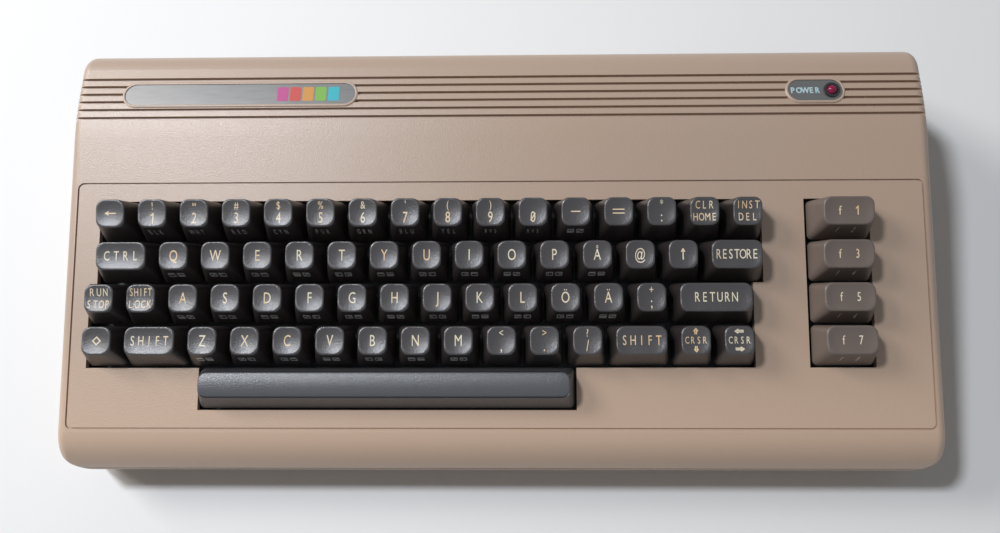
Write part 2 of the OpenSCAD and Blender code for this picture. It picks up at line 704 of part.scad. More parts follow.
CHIPS = [
    [-150, 6, 52, 14], [-150, 32, 52, 14], [-90, -20, 52, 14], [-20, -20, 52, 14], [-85, 12, 36, 14],
    [-30, 12, 36, 14], [10, 12, 36, 14], [150, -20, 36, 14], [36, -28, 20, 7], [36, -14, 20, 7],
    [100, -28, 20, 7], [100, -14, 20, 7], [-150, -22, 20, 7], [-20, 42, 20, 7], [-50, 42, 20, 7]
];
module chips() color("#1E1E20") for (c = CHIPS) translate([c[0], c[1], board_top]) chip(c[2], c[3]);

CAPACITORS = [
    [-176, 82, 5, 12], [-60, 62, 4, 10], [-48, 62, 4, 10], [172, 52, 6.3, 13], [146, 48, 6.3, 13],
    [130, 22, 3, 7], [60, 22, 3, 7], [72, 22, 3, 7], [-10, 70, 3, 7], [-176, -6, 3, 7]
];
module capacitors() color("#34466E") for (c = CAPACITORS)
    translate([c[0], c[1], board_top]) cylinder(h = c[3], r = c[2]);

module lamp_lead() color("#8C2A2A") for (s = [-1, 1]) translate([lamp_x + s * 1.27, lamp_y, board_top])
    cylinder(h = case_h - 8.5 - board_top, r = 0.6);

module rf_modulator() color(METAL_COLOR) difference() {
    b = modulator_box;
    translate([b[0], b[2], board_top]) cube([b[1] - b[0], b[3] - b[2], modulator_h]);
    translate([b[0] + 1, b[2] + 1, board_top + 1])
        cube([b[1] - b[0] - 2, b[3] - b[2] - 2, modulator_h - 2]);
    translate([jack_x, b[3] - 2, jack_z]) rotate([-90, 0, 0]) cylinder(h = 4, r = 3.1);
    translate([channel_x - 4.2, b[3] - 2, jack_z - 1.7]) cube([8.4, 4, 3.4]);
}

module aerial_jack() color(METAL_COLOR) translate([jack_x, modulator_box[3], jack_z]) rotate([-90, 0, 0])
    difference() {
        union() {
            cylinder(h = 0.8, r = 6);
            cylinder(h = rear_face - modulator_box[3] - 0.5, r = jack_r);
            translate([0, 0, -3]) cylinder(h = 4, r = 3);
        }
        translate([0, 0, 1.5]) cylinder(h = 20, r = 1.65);
    }

// The little lever that picks one of two television channels
module channel_switch() color(BLACK_COLOR)
    translate([channel_x - channel_travel / 2, modulator_box[3], jack_z]) {
        translate([-1.5, -3, -1.5]) cube([3, 10, 3]);
        translate([-3.4, -3, -2.6]) cube([6.8, 1.9, 5.2]);
    }

module cartridge_connector() color(BLACK_COLOR) difference() {
    translate([cartridge_x - 34, 82, board_top]) cube([68, 11, 13]);
    translate([cartridge_x - 29.5, 85, 18 - 1.2]) cube([59, 20, 2.4]);
    for (s = [-1, 1]) translate([cartridge_x + s * 31.6, 92, 18]) cylinder(h = 20, r = 1.4, center = true);
}

// A round socket: a block with a shell ring on it. Its face looks along the local Z axis from
// height 0.
module round_socket() difference() {
    union() {
        translate([0, 0, -6]) cylinder(h = 6, r = din_r);
        translate([-9, 11.2 - din_z, -18]) cube([18, din_z - 11.2 + din_r, 12]);
    }
    translate([0, 0, -4]) cylinder(h = 5, r = din_r - 0.7);
}

// The insert inside a shell ring, with pins' holes on a circle and one in the middle
module socket_insert(holes, arc) difference() {
    translate([0, 0, -4]) cylinder(h = 4, r = din_r - 1.7);
    for (i = [0:holes - 1]) rotate((i - (holes - 1) / 2) * arc / (holes - 1) - 90)
        translate([3.6, 0, -5]) cylinder(h = 8, r = 0.75);
    translate([0, 0, -5]) cylinder(h = 8, r = 0.75);
}

module rear_socket(x) translate([x, rear_face - socket_face, din_z]) rotate([90, 0, 180]) children();
module side_socket()
    translate([right_face - socket_face - 1.2, power_y, din_z]) rotate([90, 0, 90]) children();

module av_socket() color(BLACK_COLOR) rear_socket(av_x) round_socket();
module serial_socket() color(BLACK_COLOR) rear_socket(serial_x) round_socket();
module power_socket() color(BLACK_COLOR) side_socket() round_socket();

module socket_inserts() color(BLACK_COLOR) {
    rear_socket(av_x) socket_insert(7, 262);
    rear_socket(serial_x) socket_insert(5, 240);
    side_socket() socket_insert(6, 220);
}

// The outline of a nine-pin plug's shell, wider on top
module plug_shell(inset) polygon([
    [inset - 8.45, 4.2 - inset], [8.45 - inset, 4.2 - inset], [7 - inset, inset - 4.2], [inset - 7, inset - 4.2]
]);

module control_ports() for (y = PORT_Y) translate([right_face - 9.5, y, port_z]) rotate([90, 0, 90]) {
    color(METAL_COLOR) {
        translate([-15.4, -6.25, 0]) cube([30.8, 12.5, 0.8]);
        translate([0, 0, 0.4]) linear_extrude(6.4) difference() {
            plug_shell(0);
            plug_shell(0.7);
        }
    }
    color(BLACK_COLOR) translate([-9.5, board_top - port_z, -7]) cube([19, 12, 7 + eps]);
    color("#C9A84A") {
        for (i = [0:4]) translate([(i - 2) * 2.77, 1.42, 0]) cylinder(h = 6, r = 0.5, $fn = 24);
        for (i = [0:3]) translate([(i - 1.5) * 2.77, -1.42, 0]) cylinder(h = 6, r = 0.5, $fn = 24);
    }
}

// ---------- power switch ----------

// The rocker's pin lies upright behind the side wall, so that the rocker tips forwards and back
rocker_x = right_face - 8;
rocker_l = 17;
rocker_h = 9.6;

module switch_body() color(BLACK_COLOR) difference() {
    translate([right_face - 20, switch_y - 11, board_top]) cube([19.2, 22, 13]);
    translate([right_face - 17, switch_y - rocker_l / 2 - 0.8, switch_z - rocker_h / 2 - 0.3])
        cube([20, rocker_l + 1.6, rocker_h + 0.6]);
    translate([rocker_x, switch_y, switch_z]) cylinder(h = 11, r = 1.28, center = true);
}

// In plan the rocker is a wedge with a shallow hollow face. It is drawn tipped to OFF, its rest.
module power_rocker() color("#1C1C1C") translate([rocker_x, switch_y, switch_z]) {
    rotate([0, 0, -rocker_tilt]) linear_extrude(rocker_h, center = true) difference() {
        polygon([
            [-3, -5], [3.4, -rocker_l / 2], [5.2, 0.4 - rocker_l / 2], [5.2, rocker_l / 2 - 0.4],
            [3.4, rocker_l / 2], [-3, 5]
        ]);
        translate([28.2, 0]) circle(24, $fn = 144);
    }
    cylinder(h = rocker_h + 1.2, r = 1.2, center = true);
}

top_case();
bottom_case();
badge_plate();
lamp_badge();
power_lamp();
lamp_bezel();
lamp_lead();
rubber_feet();
case_screws();
keyboard_chassis();
keyboard_board();
keyboard_lead();
inner_screws();
main_board();
edge_contacts();
chips();
capacitors();
rf_modulator();
aerial_jack();
channel_switch();
cartridge_connector();
av_socket();
serial_socket();
power_socket();
socket_inserts();
control_ports();
switch_body();
power_rocker();
space_bar();
for (k = KEYS) key_group(k);
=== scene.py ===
# %% [markdown]
# # A home computer with its keyboard built in
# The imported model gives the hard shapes: two case halves, boards, sockets and plain keycaps. This
# notebook adds what the eye reads as real: soft-edged dished keycaps, printed legends, badges,
# and a finish for each surface. It starts by loading that model, which stays where it is.

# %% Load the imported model
import math
import bmesh
import bpy
from mathutils import Euler, Matrix, Vector


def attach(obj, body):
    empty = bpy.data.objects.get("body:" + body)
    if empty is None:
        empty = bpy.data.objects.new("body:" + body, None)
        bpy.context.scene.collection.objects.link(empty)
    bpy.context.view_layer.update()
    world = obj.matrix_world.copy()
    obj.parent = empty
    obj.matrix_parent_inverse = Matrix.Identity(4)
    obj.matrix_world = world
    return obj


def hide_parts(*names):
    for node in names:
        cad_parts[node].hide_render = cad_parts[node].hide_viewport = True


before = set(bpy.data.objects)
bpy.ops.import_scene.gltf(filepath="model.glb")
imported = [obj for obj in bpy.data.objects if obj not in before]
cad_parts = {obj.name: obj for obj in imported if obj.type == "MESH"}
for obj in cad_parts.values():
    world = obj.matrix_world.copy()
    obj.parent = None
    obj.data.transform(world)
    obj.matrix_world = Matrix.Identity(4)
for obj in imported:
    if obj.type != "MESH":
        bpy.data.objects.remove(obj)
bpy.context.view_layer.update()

# %% [markdown]
# ## Units, colours and nodes
# The drawing is in millimetres and Blender works in metres, so pieces are shaped in millimetres
# and scaled once, when they become objects. Colours are written as the hex values that a paint
# program shows, and one function turns them to the linear values that shaders want. Nodes could
# be placed by hand in the editor; one function that adds a node with its settings and its links
# lets each material be read as a short list instead.

# %% Helpers for colours and materials
MM = 0.001
# A Mix node keeps sockets for every kind of data. These are its two colours and their result.
COLOUR_A, COLOUR_B, COLOUR_OUT = 6, 7, 2


def linear(hex_colour):
    """The linear red, green, blue and alpha of a hex colour."""
    channels = [int(hex_colour[i:i + 2], 16) / 255 for i in (1, 3, 5)]
    return [c / 12.92 if c <= 0.04045 else ((c + 0.055) / 1.055) ** 2.4 for c in channels] + [1.0]


def add(tree, kind, inputs=None, **settings):
    """Adds a node. Each input is a value, or another node's output, which gets linked to it."""
    node = tree.nodes.new(kind)
    for name, value in settings.items():
        setattr(node, name, value)
    for name, value in (inputs or {}).items():
        if isinstance(value, bpy.types.NodeSocket):
            tree.links.new(value, node.inputs[name])
        else:
            node.inputs[name].default_value = value
    return node


def start_material(name):
    """A new material with its node tree, its shader and the place on the piece, in metres."""
    material = bpy.data.materials.new(name)
    material.use_nodes = True
    tree = material.node_tree
    place = add(tree, "ShaderNodeTexCoord").outputs["Object"]
    return material, tree, tree.nodes["Principled BSDF"], place


print("a mid grey is", [round(c, 3) for c in linear("#808080")[:3]])

# %% [markdown]
# ## Camera
# The computer is seen from above its front edge, as by someone about to type, with a fairly wide
# lens held at about 40 cm. That closeness is what makes the left keys show their left sides less
# and the right keys show theirs more. A longer lens from farther off would flatten all of them.

# %% Camera
camera_data = bpy.data.cameras.new("camera")
camera_data.sensor_width = 36
camera_data.lens = 28.09
camera_data.clip_start = 0.01
camera = bpy.data.objects.new("camera", camera_data)
camera.location = Vector((8.5076, -126.931, 398.179)) * MM
camera.rotation_euler = Euler([math.radians(a) for a in (17.492, 1.1027, 0.1615)], "XYZ")
bpy.context.scene.collection.objects.link(camera)
bpy.context.scene.camera = camera
print("the camera stands", round(camera.location.z / MM), "mm above the table")

# %% [markdown]
# ## Lamps
# A lamp high on the left, behind the object, is small for its distance, so every key throws a
# short crisp shadow to its right, and satin surfaces on that side mirror it as a sheen. A big
# soft box hangs lower, so that the case's own shadow is long and fades out over the floor. One
# lamp alone would have to be either crisp or soft.

# %% Lamps
def hang_lamp(name, way, far, shape, size, share, colour):
    """An area lamp that lights a level white sheet at the middle with that share of plain white."""
    way = Vector(way).normalized()
    data = bpy.data.lights.new(name, "AREA")
    data.shape = shape
    data.size, data.size_y = size
    data.energy = share * math.pi ** 2 * far ** 2 / way.z
    data.color = linear(colour)[:3]
    lamp = bpy.data.objects.new(name, data)
    lamp.location = way * far
    lamp.rotation_euler = way.to_track_quat("Z", "Y").to_euler()
    bpy.context.scene.collection.objects.link(lamp)
    print(name, "at", [round(c, 2) for c in lamp.location], "with", round(data.energy, 1), "W")


hang_lamp("key_lamp", way=(-0.53, 0.23, 1.0), far=1.5, shape="DISK", size=(0.2, 0.2),
          share=0.52, colour="#F1F6FF")
hang_lamp("soft_box", way=(-1.0, 0.45, 0.8), far=2.3, shape="RECTANGLE", size=(0.8, 0.7),
          share=0.28, colour="#FFFDFA")

# %% [markdown]
# ## Sky
# The light that fills the shadows comes from all round and is faint, but polished things still
# mirror pale walls. One world can be both: the Light Path node tells which ray asks, and only the
# camera's rays and those that a surface mirrors or lets through are shown the walls.

# %% Sky
world = bpy.data.worlds.new("studio")
world.use_nodes = True
bpy.context.scene.world = world
tree = world.node_tree
ray = add(tree, "ShaderNodeLightPath").outputs
seen = add(tree, "ShaderNodeMath", {0: ray["Is Camera Ray"], 1: ray["Is Glossy Ray"]},
           operation="MAXIMUM")
seen = add(tree, "ShaderNodeMath", {0: seen.outputs["Value"], 1: ray["Is Transmission Ray"]},
           operation="MAXIMUM")
fill = add(tree, "ShaderNodeBackground", {"Color": linear("#EDEBE9"), "Strength": 0.19})
walls = add(tree, "ShaderNodeBackground", {"Color": linear("#C8D0DB"), "Strength": 1.0})
sky = add(tree, "ShaderNodeMixShader", {0: seen.outputs["Value"], 1: fill.outputs["Background"],
                                        2: walls.outputs["Background"]})
tree.links.new(sky.outputs["Shader"], tree.nodes["World Output"].inputs["Surface"])
bpy.context.scene.view_settings.view_transform = "Standard"
print("the sky shows walls", round(1 / fill.inputs["Strength"].default_value, 1),
      "times as bright as what it lights with")

# %% [markdown]
# ## Floor
# The computer lies on a sheet of pale paper so wide that its edge is never seen. A plain white
# plane would do, but paper has a slow cloudy tone, so a coarse noise mixes two close whites.

# %% Floor
FLOOR_HALF = 2500
CLOUD_MM = 300


def piece_from(bm, name, *materials, smooth_angle=35):
    """Turns a bmesh in millimetres into an object that stands at the origin."""
    bmesh.ops.scale(bm, vec=(MM, MM, MM), verts=bm.verts)
    mesh = bpy.data.meshes.new(name)
    bm.to_mesh(mesh)
    bm.free()
    for material in materials:
        mesh.materials.append(material)
    mesh.shade_smooth()
    mesh.set_sharp_from_angle(angle=math.radians(smooth_angle))
    piece = bpy.data.objects.new(name, mesh)
    bpy.context.scene.collection.objects.link(piece)
    return piece


floor_bm = bmesh.new()
bmesh.ops.create_grid(floor_bm, x_segments=8, y_segments=8, size=FLOOR_HALF)
# Uncoated paper scatters all light, so it has no shine of its own
floor_paper, tree, shader, place = start_material("matt_paper_backdrop")
cloud = add(tree, "ShaderNodeTexNoise", {"Vector": place, "Scale": 1 / (CLOUD_MM * MM)})
tone = add(tree, "ShaderNodeMix", {"Factor": cloud.outputs["Fac"], COLOUR_A: linear("#F1F1F0"),
                                   COLOUR_B: linear("#EEEEED")}, data_type="RGBA")
tree.links.new(tone.outputs[COLOUR_OUT], shader.inputs["Base Color"])
shader.inputs["Roughness"].default_value = 0.9
floor = piece_from(floor_bm, "floor", floor_paper)
print("a floor", 2 * FLOOR_HALF * MM, "m wide")

# %% [markdown]
# ## Moulded plastics
# The case and keys are ABS, injection moulded in steel tools whose faces were etched to a fine
# grain. That grain is what scatters the light into a soft sheen with tiny sparks. It could be a
# picture wrapped round the piece; a Noise texture at the grain's own width needs no unwrapping
# and has no seams. It drives a Bump node, and roughness follows it a little. A slow noise gives
# the uneven yellowing that old ABS has.

# %% A plastic with moulded grain
ABS_IOR = 1.54
ROUGHNESS_SPREAD = 0.07
# A Noise texture seldom leaves this range
NOISE_LOW, NOISE_HIGH = 0.3, 0.7
# The painted light on the front edge fades out between these distances in front of the middle
PAINTED_LIGHT_FULL, PAINTED_LIGHT_NONE = -95, -30


def moulded_plastic(name, fresh, aged, grain_mm, depth_mm, roughness, patch_mm=90, painted_light=None,
                    shine=0.5):
    """Moulded ABS: its two tones, its grain's width and depth, and how polished it has become."""
    material, tree, shader, place = start_material(name)
    patches = add(tree, "ShaderNodeTexNoise", {"Vector": place, "Scale": 1 / (patch_mm * MM),
                                               "Detail": 3.0})
    tone = add(tree, "ShaderNodeMix", {"Factor": patches.outputs["Fac"], COLOUR_A: linear(fresh),
                                       COLOUR_B: linear(aged)}, data_type="RGBA")
    grain = add(tree, "ShaderNodeTexNoise", {"Vector": place, "Scale": 1 / (grain_mm * MM),
                                             "Detail": 2.0, "Roughness": 0.6})
    speck = add(tree, "ShaderNodeMapRange", {
        "Value": grain.outputs["Fac"], "From Min": NOISE_LOW, "From Max": NOISE_HIGH,
        "To Min": roughness - ROUGHNESS_SPREAD, "To Max": roughness + ROUGHNESS_SPREAD})
    bump = add(tree, "ShaderNodeBump", {"Height": grain.outputs["Fac"], "Strength": 1.0,
                                        "Distance": depth_mm * MM})
    shader.inputs["IOR"].default_value = ABS_IOR
    shader.inputs["Specular IOR Level"].default_value = shine
    if painted_light:
        # Painted light: the front edge is paler and warmer, as if a lamp shone on it from the front
        along = add(tree, "ShaderNodeSeparateXYZ", {"Vector": place})
        front = add(tree, "ShaderNodeMapRange", {
            "Value": along.outputs["Y"], "From Min": PAINTED_LIGHT_FULL * MM, "From Max": PAINTED_LIGHT_NONE * MM,
            "To Min": 1.0, "To Max": 0.0}, interpolation_type="SMOOTHSTEP")
        tone = add(tree, "ShaderNodeMix", {
            "Factor": front.outputs["Result"], COLOUR_A: tone.outputs[COLOUR_OUT],
            COLOUR_B: linear(painted_light)}, data_type="RGBA")
    tree.links.new(tone.outputs[COLOUR_OUT], shader.inputs["Base Color"])
    tree.links.new(speck.outputs["Result"], shader.inputs["Roughness"])
    tree.links.new(bump.outputs["Normal"], shader.inputs["Normal"])
    return material


# How deep the painted light on the front edge reaches
print("the worn edge is", PAINTED_LIGHT_NONE - PAINTED_LIGHT_FULL, "mm deep")

# %% [markdown]
# The real grain is about 0.3 mm wide. Here it is drawn at 0.5 mm or more, the finest that still
# shows from 40 cm. All the plastics are the same ABS and differ in colour, in how deep the tool
# was etched, and in how far hands have polished the grain away.

# %% The six plastics
# Etched deep: the lamp spreads into a wide satin sheen, which wear has made a little brighter
# Its front edge is paler and warmer: painted light from the front
case_plastic = moulded_plastic("grained_abs_case", "#B19B89", "#B59B85", 0.5, 0.12, 0.37,
                               painted_light="#C9AC94", shine=0.65)
# Shallow and never handled: matt, without the sheen
base_plastic = moulded_plastic("grained_abs_base", "#A8917E", "#AF957E", 0.5, 0.05, 0.46)
# Fingers have polished the keys: near black, with bright rims and a clear gleam in each dish
key_plastic = moulded_plastic("satin_abs_keycap", "#2E2927", "#352E2C", 0.5, 0.13, 0.34,
                              patch_mm=30, shine=0.85)
# A lighter, greyer tone than the other caps, which is painted sheen, and the most polished: one
# long gleam along its back
bar_plastic = moulded_plastic("satin_abs_space_bar", "#3C3C3F", "#403F41", 0.5, 0.17, 0.4,
                              patch_mm=60, shine=1.0)
# Seldom pressed: brown-grey with a dull top
function_plastic = moulded_plastic("satin_abs_function_key", "#665A53", "#6E6158", 0.6, 0.07, 0.42,
                                   patch_mm=30)
# Hidden mouldings: dull black that keeps the gaps between the keys dark
black_plastic = moulded_plastic("black_moulded_plastic", "#141414", "#1A1919", 0.7, 0.02, 0.5)
print("moulded plastics:", case_plastic.name, base_plastic.name, key_plastic.name,
      bar_plastic.name, function_plastic.name, black_plastic.name)

# %% [markdown]
# ## Keycaps: sizes and places
# A keycap is a thin-walled cup. Its skirt is nearly as wide as the key spacing; its top is about
# 13 mm across, leans back, and has round corners and a shallow dish that centres the finger. The
# sizes are the drawing's own, so that the caps fit its openings. They could be read off the plain
# caps, but written down they can be worked with: each key gets a matrix for its place on the
# sloping deck, and each top a frame of its own, tilted a little more on the back row and less on
# the front row, so that the rows together form a hollow for the hand. Legends use both again.

# %% Sizes of the keyboard, in millimetres
UNIT, GAP = 19.05, 1
KEY_D = UNIT - GAP
TOP_W, TOP_D = 12.8, 12.5
TOP_CORNER, SKIRT_CORNER = 3.7, 2.2
RIM = 0.7
LEAN = 2.2
# How far the skirt's edge lies under the deck
SKIRT = 0.5
# Height and tilt, in degrees, of the tops of each row, from the back. Row 5 is the space bar.
ROW_TOP = {1: 14.2, 2: 12.2, 3: 11.4, 4: 11.6, 5: 10.4}
ROW_TILT = {1: 4, 2: 2, 3: 0, 4: -2, 5: 0}
# The dish is part of a ball, and the space bar's back part of a barrel
DISH = 0.9
DISH_R = (TOP_W ** 2 / 4 + DISH ** 2) / (2 * DISH)
BAR_R = 16
# The deck slopes up to the curve that leads on to the flat crest
CREST, CREST_R, CREST_Y = 70, 110, 64
DECK_ANGLE = math.radians(11.5)
DECK_RISE = CREST - CREST_R + CREST_R / math.cos(DECK_ANGLE) - CREST_Y * math.tan(DECK_ANGLE)
# Middle of the keyboard on the deck, which is at unit 8 between rows 2 and 3
KEY_X, KEY_Y = -31.0, -26.35
MIDDLE_U, MIDDLE_ROW = 8, 2.5
KEY_Z = DECK_RISE + KEY_Y * math.tan(DECK_ANGLE)
DECK = Matrix.Translation((0, KEY_Y, KEY_Z)) @ Matrix.Rotation(DECK_ANGLE, 4, "X")


def key_place(u, row):
    """Matrix that puts a key's own frame, its origin under the middle of its skirt, on the deck."""
    return DECK @ Matrix.Translation((KEY_X + (u - MIDDLE_U) * UNIT, (MIDDLE_ROW - row) * UNIT,
                                      -SKIRT))


def top_place(row, lean=LEAN):
    """Frame of a key's top within the key's own frame, before the dish is pressed into it."""
    height = ROW_TOP[row] + SKIRT
    return (Matrix.Translation((0, lean, height))
            @ Matrix.Rotation(math.radians(ROW_TILT[row]), 4, "X"))


def dish_height(x, y, reach):
    """Depth of a key's top at a point; reach is half the straight length of a wide key."""
    off = math.hypot(max(abs(x) - reach, 0), y)
    return min(0.0, DISH_R - DISH - math.sqrt(max(DISH_R ** 2 - off ** 2, 0)))


def bar_height(x, y, reach):
    """The space bar's top is the other way round: a long shallow barrel, the same all along."""
    return math.sqrt(BAR_R ** 2 - y ** 2) - BAR_R


print("a dish is part of a ball of radius", round(DISH_R, 1), "mm")

# %% [markdown]
# ## Keycaps: the sides
# One could carve a cap from a subdivided cube. Here a single flat face gets its corners rounded
# by a vertex bevel and is extruded once. The lower copy is spread to the skirt's size and the
# upper one moved to the top's frame, which keeps every size exact and the faces even.

# %% The sides of a keycap
def rounded_plate(width, depth, corner, segments):
    """A bmesh of one flat face about its middle, with its corners rounded."""
    bm = bmesh.new()
    plate = bmesh.ops.create_grid(bm, x_segments=1, y_segments=1, size=0.5)
    bmesh.ops.scale(bm, vec=(width, depth, 1), verts=plate["verts"])
    bmesh.ops.bevel(bm, geom=plate["verts"], offset=corner, offset_type="OFFSET",
                    segments=segments, profile=0.5, affect="VERTICES", clamp_overlap=False,
                    material=-1)
    return bm


def cap_sides(base_w, top_w, top_d, place):
    """The cap as a closed block, from its skirt's edge to its flat top."""
    bm = rounded_plate(top_w, top_d, TOP_CORNER, segments=7)
    # The straight edges are cut about every 2 mm, so that the top can follow its dish
    for axis, long in ((0, top_w), (1, top_d)):
        straight = [e for e in bm.edges if e.calc_length() > 2 and
                    abs(e.verts[0].co[axis] - e.verts[1].co[axis]) > 2]
        bmesh.ops.bisect_edges(bm, edges=straight, cuts=max(5, round(long / 2)), edge_percents={})
    lower = list(bm.verts)
    raised = bmesh.ops.extrude_face_region(bm, geom=list(bm.faces))
    upper = [g for g in raised["geom"] if isinstance(g, bmesh.types.BMVert)]
    # The lower copy becomes the skirt's edge: the same corners, tighter, and moved outwards
    for v in lower:
        for axis, top, base in ((0, top_w, base_w), (1, top_d, KEY_D)):
            straight_half = top / 2 - TOP_CORNER
            over = max(abs(v.co[axis]) - straight_half, 0) / TOP_CORNER
            inner = min(abs(v.co[axis]), straight_half) / straight_half * (base / 2 - SKIRT_CORNER)
            v.co[axis] = math.copysign(inner + over * SKIRT_CORNER, v.co[axis])
    bmesh.ops.transform(bm, matrix=place, verts=upper)
    # One loop, nine tenths of the way up, keeps the shading of the sides flat
    sides = [e for e in bm.edges if len({v.co.z < 0.001 for v in e.verts}) == 2]
    cut = bmesh.ops.subdivide_edges(bm, edges=sides, cuts=1)
    for v in [g for g in cut["geom_inner"] if isinstance(g, bmesh.types.BMVert)]:
        ends = sorted((e.other_vert(v).co for e in v.link_edges), key=lambda end: end.z)
        v.co = ends[0].lerp(ends[-1], 0.9)
    return bm


sample = rounded_plate(TOP_W, TOP_D, TOP_CORNER, segments=7)
print("a key's top starts as one face with", len(sample.verts), "corners")
sample.free()

# %% [markdown]
# ## Keycaps: the top and the underside
# The rim is bevelled, and then the top is extruded and scaled inwards ring by ring while each
# ring sinks to the dish; a Boolean cut with a ball would leave a ragged edge there. The underside
# is hollowed in the same manner, by an inset for the wall and an extrusion up to the ceiling.

# %% One whole keycap
RINGS = (0.94, 0.86, 0.76, 0.64, 0.5, 0.36, 0.22, 0.1)
# Walls of the cup, at the skirt's edge and at its ceiling, and its thickness over the ceiling
SKIRT_WALL, CEILING_WALL, ROOF = 1.4, 1.7, 2.4
# The hollow leans back a little less than the top does
HOLLOW_LEAN = 0.85


def pull_out(bm, face):
    """Extrudes one face where it stands and returns the new one."""
    made = bmesh.ops.extrude_face_region(bm, geom=[face])
    if face.is_valid:
        bmesh.ops.delete(bm, geom=[face], context="FACES_ONLY")
    return next(g for g in made["geom"] if isinstance(g, bmesh.types.BMFace))


def shape_top(bm, place, surface, reach):
    """Rounds the rim of the flat top and brings its middle to the surface, ring by ring."""
    back = place.inverted()

    def highest():
        return max(bm.faces, key=lambda f: (back @ f.calc_center_median()).z)

    bmesh.ops.bevel(bm, geom=list(highest().edges), offset=RIM, offset_type="OFFSET", segments=4,
                    profile=0.5, affect="EDGES", clamp_overlap=True, material=-1)
    top, scale = highest(), 1.0
    for share in RINGS:
        top = pull_out(bm, top)
        for v in top.verts:
            flat = (back @ v.co).xy * (share / scale)
            v.co = place @ Vector((flat.x, flat.y, 0))
        scale = share
    for v in bm.verts:
        flat = back @ v.co
        if flat.z > -RIM - 0.05:
            v.co = place @ Vector((flat.x, flat.y, flat.z + surface(flat.x, flat.y, reach)))


def keycap(w, row, top_d=TOP_D, lean=LEAN, surface=dish_height):
    """A cap that many units wide, in its own frame."""
    base_w = w * UNIT - GAP
    top_w = base_w - (KEY_D - TOP_W)
    place = top_place(row, lean)
    bm = cap_sides(base_w, top_w, top_d, place)
    shape_top(bm, place, surface, reach=(base_w - KEY_D) / 2)
    underside = min(bm.faces, key=lambda f: f.calc_center_median().z)
    bmesh.ops.inset_region(bm, faces=[underside], thickness=SKIRT_WALL, use_even_offset=True)
    ceiling = list(pull_out(bm, underside).verts)
    bmesh.ops.scale(bm, vec=((top_w - 2 * CEILING_WALL) / (base_w - 2 * SKIRT_WALL),
                             (top_d - 2 * CEILING_WALL) / (KEY_D - 2 * SKIRT_WALL), 1),
                    verts=ceiling)
    bmesh.ops.translate(bm, vec=(0, lean * HOLLOW_LEAN, ROW_TOP[row] + SKIRT - ROOF),
                        verts=ceiling)
    bmesh.ops.recalc_face_normals(bm, faces=list(bm.faces))
    return bm


sample = keycap(1, 2)
print("one keycap has", len(sample.faces), "faces")
sample.free()

# %% [markdown]
# ## Plungers
# Under each cap a round stem is pressed in, which slides in a guide of the chassis. It is hardly
# seen, so a cone with equal radii and a bevelled tip is enough.

# %% The plunger of a key
PLUNGER_R, PLUNGER_END = 3.0, -15.0
# How far its upper end stays under the cap's top, so that it ends within the cap's roof
PLUNGER_TOP = 2.2


def plunger(row):
    """The round stem under a cap, with a chamfered tip."""
    bm = bmesh.new()
    high = ROW_TOP[row] + SKIRT - PLUNGER_TOP
    low = PLUNGER_END + SKIRT
    bmesh.ops.create_cone(bm, cap_ends=True, segments=32, radius1=PLUNGER_R, radius2=PLUNGER_R,
                          depth=high - low, matrix=Matrix.Translation((0, 0, (high + low) / 2)))
    tip = [e for e in bm.edges if all(v.co.z < low + 0.01 for v in e.verts)]
    bmesh.ops.bevel(bm, geom=tip, offset=0.5, offset_type="OFFSET", segments=2, profile=0.5,
                    affect="EDGES", clamp_overlap=True, material=-1)
    return bm


print("a plunger is", 2 * PLUNGER_R, "mm thick")

# %% [markdown]
# ## Keycaps: the whole set
# Sixty-five caps differ only in place, width, row and print, so they are a table and not
# sixty-five objects made by hand. Each entry names the node it stands for, its row, and for every
# key its place and width in key units and its legend. A slash in a legend starts a second line,
# and a tick mark before a sign puts that sign over the main one.

